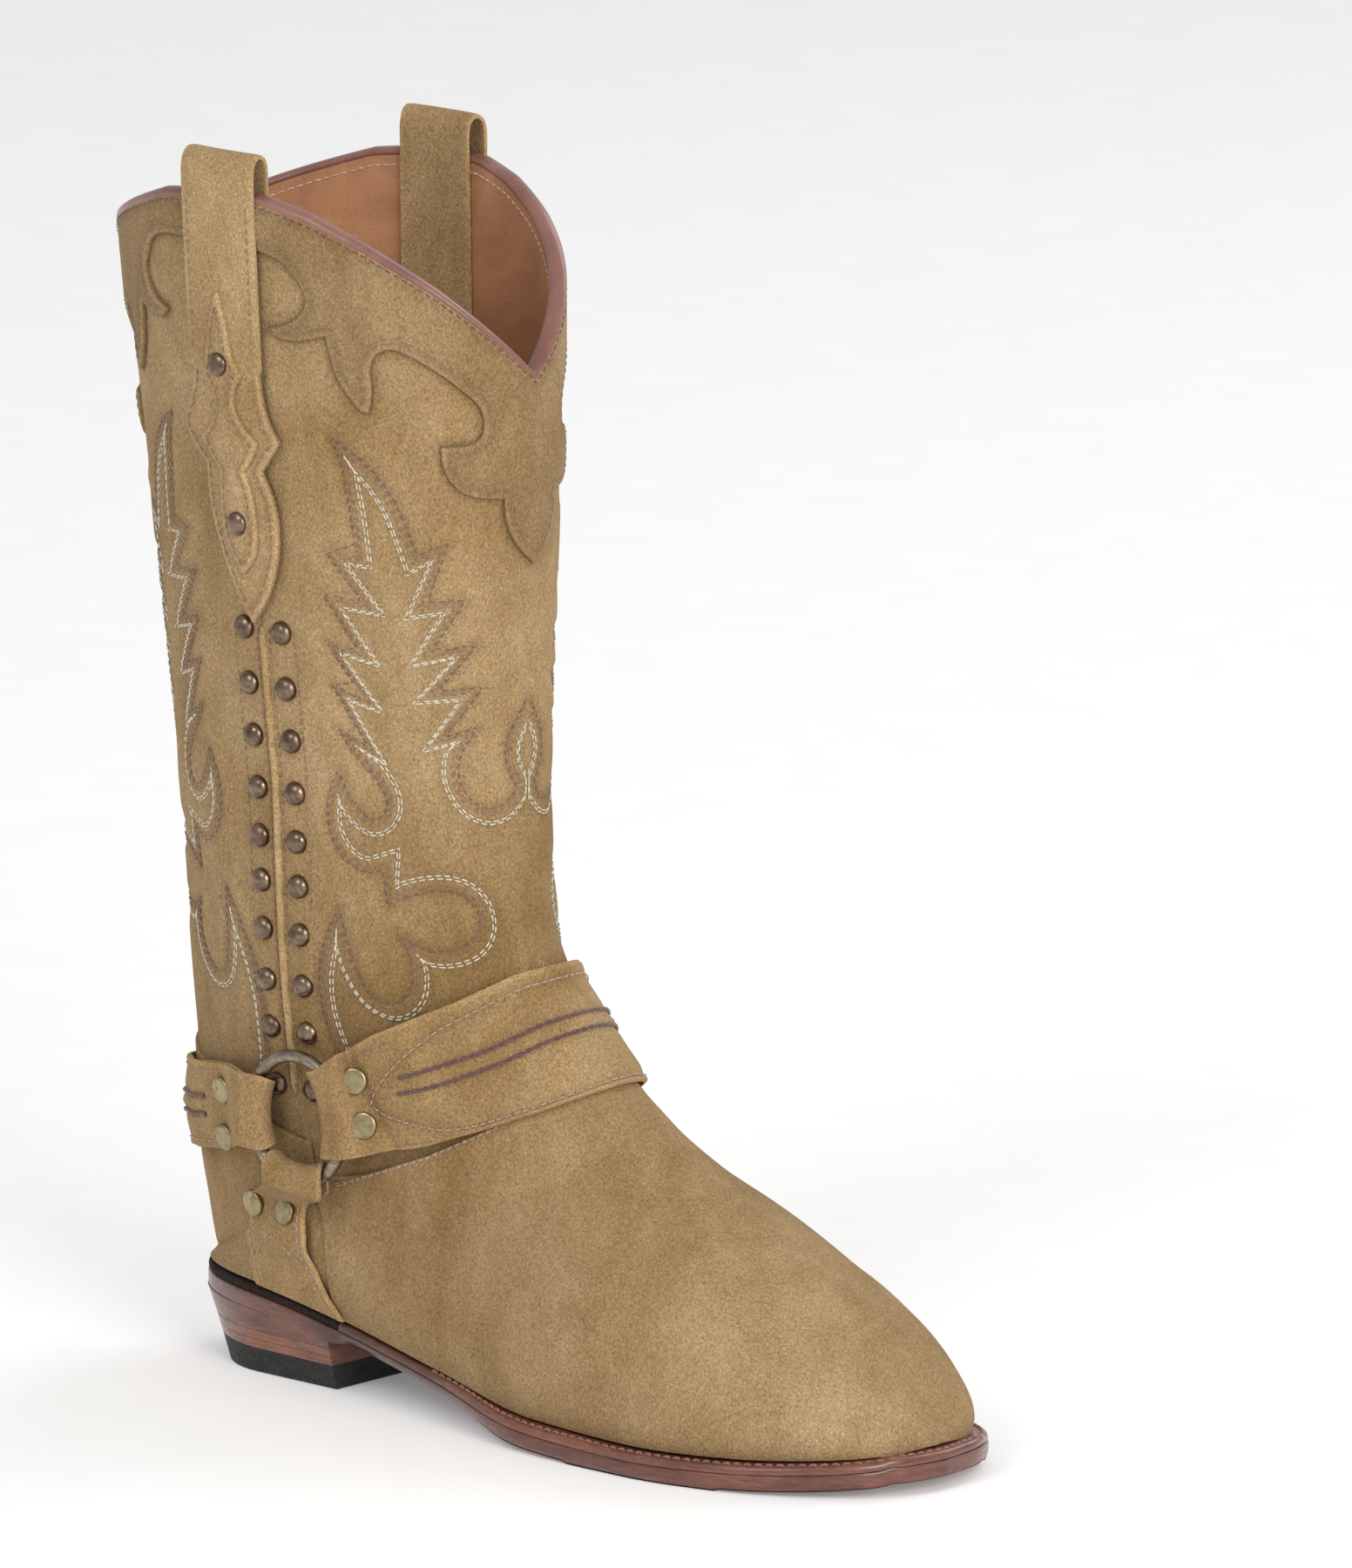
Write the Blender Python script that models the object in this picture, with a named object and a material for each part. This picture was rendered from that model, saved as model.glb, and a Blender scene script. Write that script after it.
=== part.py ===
"""A western harness boot for the right foot, in metres, standing on its heel and tread with the toe along +X.

The boot is drawn round one closed last surface, given by stations that run from the top of the shaft down to
the heel and out to the toe. Every leather piece is a patch of that surface at its own depth, so the layers
nest with a small gap. Dimensions below are millimetres; the mesh builder turns them into metres.
"""

import math

import bmesh
import bpy
from mathutils import Vector

MM = 0.001
GAP = 0.4
# middle of the finished box, moved onto the origin
BOX_MIDDLE_X = 117.3
BOX_MIDDLE_Y = -2.4

# ------------------------------------------------------------------ last stations
# front or top point x, z; back or bottom point x, z; half widths lateral, medial;
# half widths of the feather edge lateral, medial; centre y
LAST = [
    (115, 352, -34, 352, 46, 45, 0, 0, -3),
    (116, 308, -29, 308, 45, 44, 0, 0, -3),
    (116, 262, -23, 262, 43, 42, 0, 0, -3),
    (115, 214, -17, 214, 41, 39, 0, 0, -3),
    (114, 176, -12, 172, 39, 37, 0, 0, -3),
    (115, 150, -9, 132, 38, 36, 0, 0, -2.5),
    (120, 131, -8, 95, 37, 35, 0, 0, -2),
    (129, 116, -9, 62, 35, 33.5, 0, 0, -1),
    (140, 104, -7, 42, 33, 33, 0, 0, -0.5),
    (147, 98, -4, 27.3, 32.5, 32.5, 0, 0, 0),
    (151, 95, -1.5, 27.3, 32.5, 32.5, 12, 12, 0),
    (157, 91, 6, 27.2, 33, 33, 21.5, 21.5, 0),
    (166, 85, 28, 26.7, 34, 34, 28.5, 28.5, 0),
    (178, 78, 66, 22.5, 37, 37, 31, 28, 0),
    (191, 71, 110, 15, 42, 40.5, 36, 27, 1),
    (204, 64, 152, 9.3, 46, 43, 43, 35, 2),
    (218, 56, 190, 8.1, 46, 44, 44, 42, 3),
    (231, 47, 220, 8.6, 41, 41, 39, 39, 4),
    (243, 37, 241, 9.6, 32, 34, 30, 33, 5),
    (252, 27, 253, 10.5, 22, 25, 21, 24, 6),
    (258, 19, 259, 11.2, 12, 14, 11, 13, 6),
    (261, 12, 261, 12, 0, 0, 0, 0, 6),
]
HEEL_STATION = 9.0
SEAM_END = 12.9
KNEE = 14.0
ANKLE_Z = 100.0
COLUMNS = 20
TOE_STEP = 0.75

# side seam x against station, and the rim line as station against share of the half girth
SEAM_X = [(0, 40), (2.85, 51), (4, 54), (7, 54), (9, 58), (12.9, 66)]
RIM = [
    (0, 1.25), (0.1, 0.95), (0.19, 0.68), (0.29, 0.42), (0.37, 0.25), (0.43, 0.17),
    (0.5, 0.15), (0.61, 0.22), (0.78, 0.48), (0.9, 0.75), (1.0, 0.92),
]
VAMP_TOP = [
    (0, 5.85), (0.05, 6.2), (0.12, 7.1), (0.2, 8.3), (0.28, 9.1), (0.38, 9.4),
    (0.46, 9.0), (0.56, 8.4),
]
COUNTER_TOP = [(0, 95), (0.4, 90), (0.75, 78), (1, 72)]

# depths of each layer from the last surface, outside positive
UPPER = (-1.5, 0.0)
COVER_SHIFT = -1.3
COVER = (0.35, 1.6)
TONGUE_TOP = 0.75
STIFF = (-2.0, -0.85)
LINING_SHAFT = (-3.0, -1.9)
LINING_FOOT = -6.0
COLLAR = (0.35, 1.5)
SEAM_GAP = 1.7

# sole unit, measured down from the feather edge
WELT_TOP = -0.95
WELT_BOTTOM = -3.25
OUTSOLE_TOP = -3.55
OUTSOLE_BOTTOM = -8.1
INSOLE = (-1.5, 0.9)
INSOCK = (1.2, 2.2)

# heel block
HEEL_BREAST_X = 62
HEEL_WIDE_X = 31
HEEL_HALF = 27
HEEL_FLARE = 0.07
HEEL_BACK_X = 4.5
HEEL_BACK_SLANT = 0.33
HEEL_LAYERS = [
    ("heel_top_lift", 0.0, 6.8),
    ("heel_lift_1", 7.1, 9.5),
    ("heel_lift_2", 9.8, 12.2),
]

# harness
RING_X = 61
RING_Z = 81
RING_RADIUS = 18.1
RING_WIRE = 1.8
RING_LIFT = 7.8
RING_TURN = 1
STRAP_HALF = 0.65
LOOP_RADIUS = RING_WIRE + 0.45 + STRAP_HALF

STUD_RADIUS = 3.25
STUD_Z = [221, 205, 190, 175, 161, 148, 134, 119, 105, 88]
STUD_SIDE = 7.0


def clear_scene():
    for obj in list(bpy.data.objects):
        bpy.data.objects.remove(obj, do_unlink=True)


def lerp(a, b, k):
    return a + (b - a) * k


def clamp(v, low, high):
    return max(low, min(high, v))


def smooth(v):
    v = clamp(v, 0, 1)
    return v * v * (3 - 2 * v)


def along(table, v):
    """Straight interpolation of a table of (place, value)."""
    if v <= table[0][0]:
        return table[0][1]
    for (a, x), (b, y) in zip(table, table[1:]):
        if v <= b:
            return lerp(x, y, (v - a) / (b - a))
    return table[-1][1]


# ------------------------------------------------------------------ last surface
def slope(a, b):
    """Tangent between two steps that never overshoots."""
    return 0.0 if a * b <= 0 else 2 * a * b / (a + b)


def station(t):
    """One row of the last at station t, by a smooth curve through the table that never overshoots."""
    t = clamp(t, 0, len(LAST) - 1)
    i = min(int(t), len(LAST) - 2)
    k = t - i
    row = []
    for c in range(9):
        p1 = LAST[i][c]
        p2 = LAST[i + 1][c]
        step = p2 - p1
        m1 = slope(p1 - LAST[i - 1][c], step) if i > 0 else step
        m2 = slope(step, LAST[i + 2][c] - p2) if i + 2 < len(LAST) else step
        row.append(
            (2 * k**3 - 3 * k**2 + 1) * p1 + (k**3 - 2 * k**2 + k) * m1
            + (3 * k**2 - 2 * k**3) * p2 + (k**3 - k**2) * m2
        )
    return row


def end_angle(row, side):
    w = max(row[4] if side < 0 else row[5], 0.01)
    b = row[6] if side < 0 else row[7]
    r = clamp(b / w, 0, 0.999)
    return math.pi - math.asin(r) if r > 1e-6 else math.pi


def bare(t, u):
    """Point of the last: u is 0 on the front line, -1 and 1 on the back line or the feather edge."""
    if u > 1:
        u = u - 2
    if u < -1:
        u = u + 2
    row = station(t)
    fx, fz, bx, bz, wl, wm, _, _, yc = row
    w = max(wl if u < 0 else wm, 0.01)
    end = end_angle(row, u)
    phi = abs(u) * end
    k = (1 - math.cos(phi)) / (1 - math.cos(end))
    y = yc + math.copysign(w * math.sin(phi), u)
    return Vector((fx + (bx - fx) * k, y, fz + (bz - fz) * k))


def normal(t, u):
    """Outward normal of the last."""
    h = 0.02
    t0 = clamp(t - h, 0, 20.9)
    t1 = clamp(t + h, 0, 20.9)
    if t >= HEEL_STATION - h and abs(u) > 0.98:
        u = math.copysign(0.98, u)
    du = bare(t, u + h) - bare(t, u - h)
    dt = bare(t1, u) - bare(t0, u)
    n = dt.cross(du)
    row = station(t)
    mid = Vector(((row[0] + row[2]) / 2, row[8], (row[1] + row[3]) / 2))
    p = bare(t, u)
    if n.dot(p - mid) < 0:
        n = -n
    n.normalize()
    n.z *= smooth((p.z - feather_z(p.x)) / 11.0)
    return n.normalized()


def base_shift(t):
    """The foot is drawn a little inside the last, so that the cover lies over the shaft's lower edge."""
    return COVER_SHIFT * smooth((t - 5.0) / 1.6)


def at(t, u, d):
    return bare(t, u) + normal(t, u) * (d + base_shift(t))


def girth(t, x, side=-1):
    """Share of the half girth at which station t reaches x."""
    row = station(t)
    k = clamp((row[0] - x) / (row[0] - row[2]), 0, 1)
    end = end_angle(row, side)
    return clamp(math.acos(clamp(1 - k * (1 - math.cos(end)), -1, 1)) / end, 0, 1)


def place(x, z, side=-1):
    """Station and share of the girth of the last's side point at x, z."""
    low, high = 0.0, 20.9
    for _ in range(40):
        t = (low + high) / 2
        row = station(t)
        k = clamp((row[0] - x) / max(row[0] - row[2], 1e-6), 0, 1)
        if row[1] + (row[3] - row[1]) * k > z:
            low = t
        else:
            high = t
    return t, side * girth(t, x, side)


def back_x(z):
    """x of the back line at height z."""
    low, high = 0.0, HEEL_STATION
    for _ in range(30):
        t = (low + high) / 2
        if station(t)[3] > z:
            low = t
        else:
            high = t
    return station(t)[2]


FEATHER = [(station(HEEL_STATION + i * 0.25)[2], station(HEEL_STATION + i * 0.25)[3]) for i in range(49)]


def feather_z(x):
    return along(FEATHER, x)


# ------------------------------------------------------------------ mesh builders
def face_out(bm):
    """Turns every face outward, judged by the enclosed volume."""
    bmesh.ops.recalc_face_normals(bm, faces=bm.faces)
    if bm.calc_volume(signed=True) < 0:
        bmesh.ops.reverse_faces(bm, faces=bm.faces)


def new_object(name, bm, material, smooth_shade=True):
    face_out(bm)
    mesh = bpy.data.meshes.new(name)
    bm.to_mesh(mesh)
    bm.free()
    for poly in mesh.polygons:
        poly.use_smooth = smooth_shade
    obj = bpy.data.objects.new(name, mesh)
    mesh.materials.append(material)
    BOOT.objects.link(obj)
    obj.parent = ROOT
    return obj


def pivot_on(name, place_mm, axis, pieces):
    """Hangs pieces on an empty whose z axis is the turning axis; the pieces stay where they were built."""
    pivot = bpy.data.objects.new(name, None)
    BOOT.objects.link(pivot)
    pivot.parent = ROOT
    turn = Vector((0, 0, 1)).rotation_difference(Vector(axis))
    pivot.rotation_mode = "QUATERNION"
    pivot.rotation_quaternion = turn
    pivot.location = Vector(place_mm) * MM
    for piece in pieces:
        piece.parent = pivot
        piece.rotation_mode = "QUATERNION"
        piece.rotation_quaternion = turn.inverted()
        piece.location = -(turn.inverted() @ (Vector(place_mm) * MM))


def grid_solid(name, rows, material, around=False):
    """A closed solid from rows of (outer point, inner point); around joins the last column to the first."""
    bm = bmesh.new()
    outer = [[bm.verts.new(Vector(p[0]) * MM) for p in row] for row in rows]
    inner = [[bm.verts.new(Vector(p[1]) * MM) for p in row] for row in rows]
    ni = len(rows)
    nj = len(rows[0])
    columns = range(nj) if around else range(nj - 1)
    for i in range(ni - 1):
        for j in columns:
            k = (j + 1) % nj
            bm.faces.new((outer[i][j], outer[i + 1][j], outer[i + 1][k], outer[i][k]))
            bm.faces.new((inner[i][j], inner[i][k], inner[i + 1][k], inner[i + 1][j]))
    for i in (0, ni - 1):
        for j in columns:
            k = (j + 1) % nj
            bm.faces.new((outer[i][j], outer[i][k], inner[i][k], inner[i][j]))
    if not around:
        for j in (0, nj - 1):
            for i in range(ni - 1):
                bm.faces.new((outer[i][j], inner[i][j], inner[i + 1][j], outer[i + 1][j]))
    return new_object(name, bm, material)


def tube(name, loops, material, closed):
    """A closed solid swept through loops of points; closed joins the last loop to the first."""
    bm = bmesh.new()
    made = [[bm.verts.new(Vector(p) * MM) for p in loop] for loop in loops]
    n = len(loops[0])
    steps = range(len(loops)) if closed else range(len(loops) - 1)
    for i in steps:
        a = made[i]
        b = made[(i + 1) % len(loops)]
        for j in range(n):
            k = (j + 1) % n
            bm.faces.new((a[j], a[k], b[k], b[j]))
    if not closed:
        bm.faces.new(made[0])
        bm.faces.new(list(reversed(made[-1])))
    return new_object(name, bm, material)


def dome_into(bm, centre, axis, radius, height, rim=0.5, segments=10, rings=3, shank=0.0):
    """Adds a dome head with a short straight rim to the mesh, standing on centre along axis."""
    axis = Vector(axis).normalized()
    side = axis.orthogonal().normalized()
    other = axis.cross(side)
    profile = []
    if shank:
        profile.append((1.5, -shank))
        profile.append((1.5, 0.0))
    profile.append((radius, 0.0))
    if rim:
        profile.append((radius, rim))
    for i in range(1, rings):
        a = math.pi / 2 * i / rings
        profile.append((radius * math.cos(a), rim + (height - rim) * math.sin(a)))
    loops = []
    for r, h in profile:
        loop = []
        for s in range(segments):
            a = 2 * math.pi * s / segments
            p = Vector(centre) + axis * h + (side * math.cos(a) + other * math.sin(a)) * r
            loop.append(bm.verts.new(p * MM))
        loops.append(loop)
    for a, b in zip(loops, loops[1:]):
        for j in range(segments):
            k = (j + 1) % segments
            bm.faces.new((a[j], a[k], b[k], b[j]))
    bm.faces.new(loops[0])
    top = bm.verts.new((Vector(centre) + axis * height) * MM)
    last = loops[-1]
    for j in range(segments):
        bm.faces.new((last[j], last[(j + 1) % segments], top))


def head(name, centre, axis, radius, height, material, rim=0.5, shank=0.0, rings=3):
    bm = bmesh.new()
    dome_into(bm, centre, axis, radius, height, rim=rim, shank=shank, rings=rings)
    return new_object(name, bm, material)


def cylinder_into(bm, centre, axis, radius, low, high, segments=10):
    axis = Vector(axis).normalized()
    side = axis.orthogonal().normalized()
    other = axis.cross(side)
    loops = []
    for h in (low, high):
        loop = []
        for s in range(segments):
            a = 2 * math.pi * s / segments
            p = Vector(centre) + axis * h + (side * math.cos(a) + other * math.sin(a)) * radius
            loop.append(bm.verts.new(p * MM))
        loops.append(loop)
    for j in range(segments):
        k = (j + 1) % segments
        bm.faces.new((loops[0][j], loops[0][k], loops[1][k], loops[1][j]))
    bm.faces.new(list(reversed(loops[0])))
    bm.faces.new(loops[1])


def cutter(name, bm):
    """A helper solid kept out of the boot."""
    face_out(bm)
    mesh = bpy.data.meshes.new(name)
    bm.to_mesh(mesh)
    bm.free()
    obj = bpy.data.objects.new(name, mesh)
    CUTTERS.objects.link(obj)
    obj.parent = ROOT
    obj.hide_render = True
    obj.display_type = "WIRE"
    return obj


def boolean(obj, other, operation):
    mod = obj.modifiers.new(operation.lower(), "BOOLEAN")
    mod.operation = operation
    mod.solver = "EXACT"
    mod.object = other


def leather(name, colour, rough, metallic=0.0):
    mat = bpy.data.materials.new(name)
    mat.use_nodes = True
    shader = mat.node_tree.nodes["Principled BSDF"]
    shader.inputs["Base Color"].default_value = (*colour, 1)
    shader.inputs["Roughness"].default_value = rough
    shader.inputs["Metallic"].default_value = metallic
    mat.diffuse_color = (*colour, 1)
    return mat


# ------------------------------------------------------------------ patches of the upper
def seam_share(t, side=-1):
    return girth(t, along(SEAM_X, t), side)


def front_u(c, t):
    """Share of the girth for column c of a front piece at station t, clear of the side seam."""
    side = -1 if c < 0 else 1
    edge = seam_share(t, side) if t < SEAM_END else 1.0
    if edge < 0.999:
        edge = edge - SEAM_GAP / 190
    return c * edge


def front_patch(name, top, bottom, depth, material, columns=20, rows=12, share=1.0, toe_rows=0):
    """A piece across the front: top and bottom give the station of each column.

    With toe_rows the rows past the knee lie on the same stations in every piece.
    """
    grid = []
    for i in range(rows + toe_rows + 1):
        line = []
        for j in range(columns + 1):
            c = share * (2 * j / columns - 1)
            if toe_rows:
                t = lerp(top(c), KNEE, i / rows) if i <= rows else KNEE + (i - rows) * TOE_STEP
            else:
                t = lerp(top(c), bottom(c), i / rows)
            u = front_u(c, t)
            low, high = depth(t, c)
            line.append((at(t, u, high), at(t, u, low)))
        grid.append(line)
    return grid_solid(name, grid, material)


def back_place(c, z, share_z):
    """Station and girth share for column c (-1 lateral seam, 0 back line, 1 medial seam) at height z."""
    side = -1 if c < 0 else 1
    xb = back_x(share_z)
    t0, _ = place(45, z, side)
    xs = along(SEAM_X, t0) - SEAM_GAP
    x = xb + (xs - xb) * (1 - math.cos(abs(c) * math.pi / 2))
    return x, side


def back_patch(name, top, bottom, depth, material, columns=20, rows=12, share=1.0, foot=False, foot_rows=0):
    """A piece round the back: top and bottom give the height of each column.

    With foot_rows the rows under the ankle are closer than those of the shaft.
    """
    grid = []
    for i in range(rows + foot_rows + 1):
        line = []
        for j in range(columns + 1):
            c = share * (2 * j / columns - 1)
            z_top = top(c)
            k = i / rows
            if foot_rows:
                split = (z_top - ANKLE_Z) / (z_top - bottom(c))
                k = split * i / rows if i <= rows else lerp(split, 1, (i - rows) / foot_rows)
            x, side = back_place(c, lerp(z_top, bottom(c), k), lerp(z_top, bottom(c), k))
            low_z = max(bottom(c), feather_z(x) + 0.15) if foot else bottom(c)
            z = lerp(z_top, low_z, k)
            t, u = place(x, z, side)
            low, high = depth(z, c)
            line.append((at(t, u, high), at(t, u, low)))
        grid.append(line)
    return grid_solid(name, grid, material)


def rim_station(u, drop=0.0):
    return along(RIM, abs(u)) + drop / 44.0


def rim_front(c, drop):
    return rim_station(c * 0.5, drop)


def rim_back(c, drop):
    return station(rim_station(1 - abs(c) * 0.5, drop))[3]


def shaft_front(mat):
    def low(c):
        return along(VAMP_TOP, abs(c) * 0.53) + 0.62
    return front_patch("shaft_front", lambda c: rim_front(c, 3.3), low, lambda t, c: UPPER, mat, COLUMNS, 11)


def shaft_back(mat):
    def low(c):
        return along(COUNTER_TOP, abs(c)) - 8
    return back_patch("shaft_back", lambda c: rim_back(c, 3.3), low, lambda z, c: UPPER, mat, COLUMNS, 9)


def vamp(mat):
    def top(c):
        return along(VAMP_TOP, abs(c) * 0.56)
    def depth(t, c):
        """The tongue is skived thin, so that the instep strap swings over it."""
        return COVER[0], lerp(TONGUE_TOP, COVER[1], smooth((t - 6.2) / 1.0))
    return front_patch("vamp", top, None, depth, mat, COLUMNS, 8, toe_rows=9)


def counter(mat):
    def top(c):
        return along(COUNTER_TOP, abs(c))
    return back_patch("counter_cover", top, lambda c: 20.0, lambda z, c: COVER, mat, COLUMNS, 8, foot=True)


def toe_puff(mat):
    return front_patch(
        "toe_puff", lambda c: KNEE + 4 * TOE_STEP, lambda c: KNEE + 8 * TOE_STEP, lambda t, c: STIFF, mat,
        COLUMNS - 2, 4, share=1 - 2 / COLUMNS,
    )


def counter_stiffener(mat):
    return back_patch(
        "counter_stiffener", lambda c: lerp(60, 50, abs(c)), lambda c: 20.0, lambda z, c: STIFF, mat,
        COLUMNS - 4, 5, share=1 - 4 / COLUMNS, foot=True,
    )


def lining_front(mat):
    def depth(t, c):
        foot = smooth((t - 6.0) / 3.0)
        low = lerp(LINING_SHAFT[0], LINING_FOOT + 1.3, foot)
        high = lerp(LINING_SHAFT[1], LINING_SHAFT[1] - 0.8, smooth((t - 2.5) / 1.5))
        high = lerp(high, STIFF[0] - 0.7, smooth((t - 16.2) / 0.5))
        return low, high
    return front_patch("lining_front", lambda c: rim_front(c, 3.3), None, depth, mat, COLUMNS, 12, toe_rows=7)


def lining_back(mat):
    def depth(z, c):
        foot = smooth((110 - z) / 45.0)
        low = lerp(LINING_SHAFT[0], LINING_FOOT + 1.3, foot)
        high = lerp(LINING_SHAFT[1], STIFF[0] - 1.9, smooth((72 - z) / 8.0))
        return low, high
    return back_patch(
        "lining_back", lambda c: rim_back(c, 3.3), lambda c: 20.0, depth, mat, COLUMNS, 6, foot=True, foot_rows=8
    )


COLLAR_FRONT = [
    (0, 56), (0.1, 50), (0.14, 32), (0.22, 34), (0.3, 30), (0.36, 31), (0.42, 14), (0.5, 13),
    (0.56, 33), (0.66, 28), (0.7, 33), (0.78, 37), (0.85, 24), (0.92, 16), (1, 14),
]
COLLAR_BACK = [
    (0, 62), (0.1, 48), (0.18, 30), (0.3, 34), (0.38, 22), (0.52, 30), (0.62, 44), (0.7, 40), (0.78, 18), (1, 14),
]


def collar_front(mat):
    def low(c):
        drop = along(COLLAR_FRONT, abs(c))
        return rim_front(c, drop)
    return front_patch(
        "collar_front", lambda c: rim_front(c, 3.5), low, lambda t, c: COLLAR, mat, 2 * COLUMNS, 2, share=0.995
    )


def collar_back(mat):
    def low(c):
        return rim_back(c, along(COLLAR_BACK, abs(c)))
    return back_patch(
        "collar_back", lambda c: rim_back(c, 3.5), low, lambda z, c: COLLAR, mat, 2 * COLUMNS, 2, share=0.995
    )


def top_binding(mat):
    """The rolled strip over the rim: a bead standing on the edges of shaft and lining."""
    loops = []
    shares = [(2 * i / COLUMNS - 1) * 0.491 for i in range(COLUMNS + 1)]
    shares += [lerp(0.509, 1.491, i / COLUMNS) for i in range(COLUMNS + 1)]
    middle = (LINING_SHAFT[0] + COLLAR[1]) / 2
    half = (COLLAR[1] - LINING_SHAFT[0]) / 2 + 0.2
    for u in shares:
        if u > 1:
            u = u - 2
        t = rim_station(u, 0)
        loop = []
        for d, h in ((-half, -2.2), (half, -2.2), (half, 0.2), (half * 0.6, 1.6), (-half * 0.6, 1.6), (-half, 0.2)):
            p = at(t, u, middle + d)
            loop.append(p + Vector((0, 0, h)))
        loops.append(loop)
    return tube("top_binding", loops, mat, True)


def side_piping(name, side, mat):
    """The corded side seam from the strap point down to the harness ring."""
    loops = []
    for i in range(13):
        z = lerp(221.5, 88, i / 12)
        x = along([(82, 54), (176, 54), (223, 51)], z)
        t, u = place(x, z, side)
        p = at(t, u, -0.2)
        n = normal(t, u)
        across = n.cross(Vector((0, 0, 1))).normalized()
        loop = []
        for s in range(6):
            a = 2 * math.pi * s / 6
            loop.append(p + n * (1.0 * math.sin(a)) + across * (1.0 * math.cos(a)))
        loops.append(loop)
    return tube(name, loops, mat, False)


# ------------------------------------------------------------------ sole unit
def outline(t, side, m):
    """Point of the feather outline at station t pushed out by m."""
    def raw(v):
        row = station(v)
        w = row[6] if side < 0 else row[7]
        return Vector((row[2], row[8] + side * max(w, 0.0)))
    a = raw(clamp(t - 0.04, HEEL_STATION, 21))
    b = raw(clamp(t + 0.04, HEEL_STATION, 21))
    d = b - a
    n = Vector((d.y, -d.x)).normalized() * (1 if side < 0 else -1)
    if t <= HEEL_STATION + 0.001:
        n = Vector((-1, 0))
    if t >= 20.999:
        n = Vector((1, 0))
    return raw(t) + n * m


def slab(name, t0, t1, m, z_low, z_high, mat, rows=16, columns=4):
    """A plate inside the feather outline moved by m."""
    grid = []
    for i in range(rows + 1):
        k = i / rows
        t = lerp(t0, t1, k)
        a = outline(t, -1, m(t))
        b = outline(t, 1, m(t))
        line = []
        for j in range(columns + 1):
            p = a.lerp(b, j / columns)
            line.append(((p.x, p.y, z_high(p.x)), (p.x, p.y, z_low(p.x))))
        grid.append(line)
    return grid_solid(name, grid, mat)


def band(name, path, m_in, m_out, z_low, z_high, mat):
    """A strip along the feather outline; path is a list of (station, side)."""
    loops = []
    for t, side in path:
        a = outline(t, side, m_in(t))
        b = outline(t, side, m_out(t))
        lo = z_low(b.x)
        hi = z_high(b.x)
        loops.append([(a.x, a.y, lo), (b.x, b.y, lo), (b.x, b.y, hi), (a.x, a.y, hi)])
    return tube(name, loops, mat, False)


def welt_reach(t):
    return lerp(0.8, 4.6, smooth((t - 13.6) / 1.6))


def outsole_reach(t):
    if t < 12.6:
        return 0.9
    return lerp(0.9, 4.8, smooth((t - 13.6) / 1.6))


def outsole_bottom(x):
    z = feather_z(x) + OUTSOLE_BOTTOM
    return 0.0 if z < 0.5 else z


def sole_unit(mats):
    fz = feather_z
    slab("outsole", 9.02, 20.98, outsole_reach, outsole_bottom, lambda x: fz(x) + OUTSOLE_TOP, mats["sole"], 24, 4)
    forward = [13.12 + (21 - 13.12) * i / 20 for i in range(21)]
    path = [(t, -1) for t in forward] + [(t, 1) for t in reversed(forward[:-1])]
    band(
        "welt", path, lambda t: -4.2, welt_reach,
        lambda x: fz(x) + WELT_BOTTOM, lambda x: fz(x) + WELT_TOP, mats["welt"],
    )
    rear = [13.0 - (13.0 - 9.0) * i / 12 for i in range(13)]
    path = [(t, -1) for t in rear] + [(t, 1) for t in reversed(rear[:-1])]
    band(
        "heel_rand", path, lambda t: -4.2, lambda t: 0.8,
        lambda x: fz(x) + WELT_BOTTOM, lambda x: fz(x) + WELT_TOP, mats["welt"],
    )
    slab("insole", 9.5, 20.1, lambda t: -7.2, lambda x: fz(x) + INSOLE[0], lambda x: fz(x) + INSOLE[1], mats["insole"])
    slab("insock", 9.7, 19.7, lambda t: -8.9, lambda x: fz(x) + INSOCK[0], lambda x: fz(x) + INSOCK[1], mats["insock"])
    slab(
        "cork_filler", 14.4, 20.0, lambda t: -6.0, lambda x: fz(x) + OUTSOLE_TOP + 0.3,
        lambda x: fz(x) + INSOLE[0] - 0.3, mats["cork"], 14, 4,
    )
    shank_rows = []
    for i in range(13):
        x = lerp(30, 118, i / 12)
        line = []
        for y in (-7, 0, 7):
            line.append(((x, y, fz(x) - 2.0), (x, y, fz(x) - 3.1)))
        shank_rows.append(line)
    grid_solid("shank", shank_rows, mats["steel"])


def heel_outline(z, x_share):
    """Back-to-breast half width of the heel block at height z."""
    x0 = HEEL_BACK_X - HEEL_BACK_SLANT * z
    w = HEEL_HALF + HEEL_FLARE * z
    if x_share < 1:
        a = x_share * math.pi / 2
        return HEEL_WIDE_X - (HEEL_WIDE_X - x0) * math.cos(a), w * math.sin(a)
    return lerp(HEEL_WIDE_X, HEEL_BREAST_X, x_share - 1), w


def heel_plate(name, z0, z1, mat, top=None):
    rows = []
    shares = [0.07, 0.2, 0.35, 0.5, 0.65, 0.82, 1.0, 1.33, 1.66, 2.0]
    for s in shares:
        line = []
        for j in range(7):
            k = 2 * j / 6 - 1
            xa, ya = heel_outline(z0, s)
            zt = z1 if top is None else top(xa)
            xb, yb = heel_outline(zt, s)
            line.append(((xb, yb * k, zt), (xa, ya * k, z0)))
        rows.append(line)
    return grid_solid(name, rows, mat)


def heel(mats):
    for name, z0, z1 in HEEL_LAYERS:
        heel_plate(name, z0, z1, mats["rubber"] if name == "heel_top_lift" else mats["stack"])
    heel_plate("heel_wedge", 12.5, 0, mats["stack"], lambda x: feather_z(x) + OUTSOLE_BOTTOM - 0.3)


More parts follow.
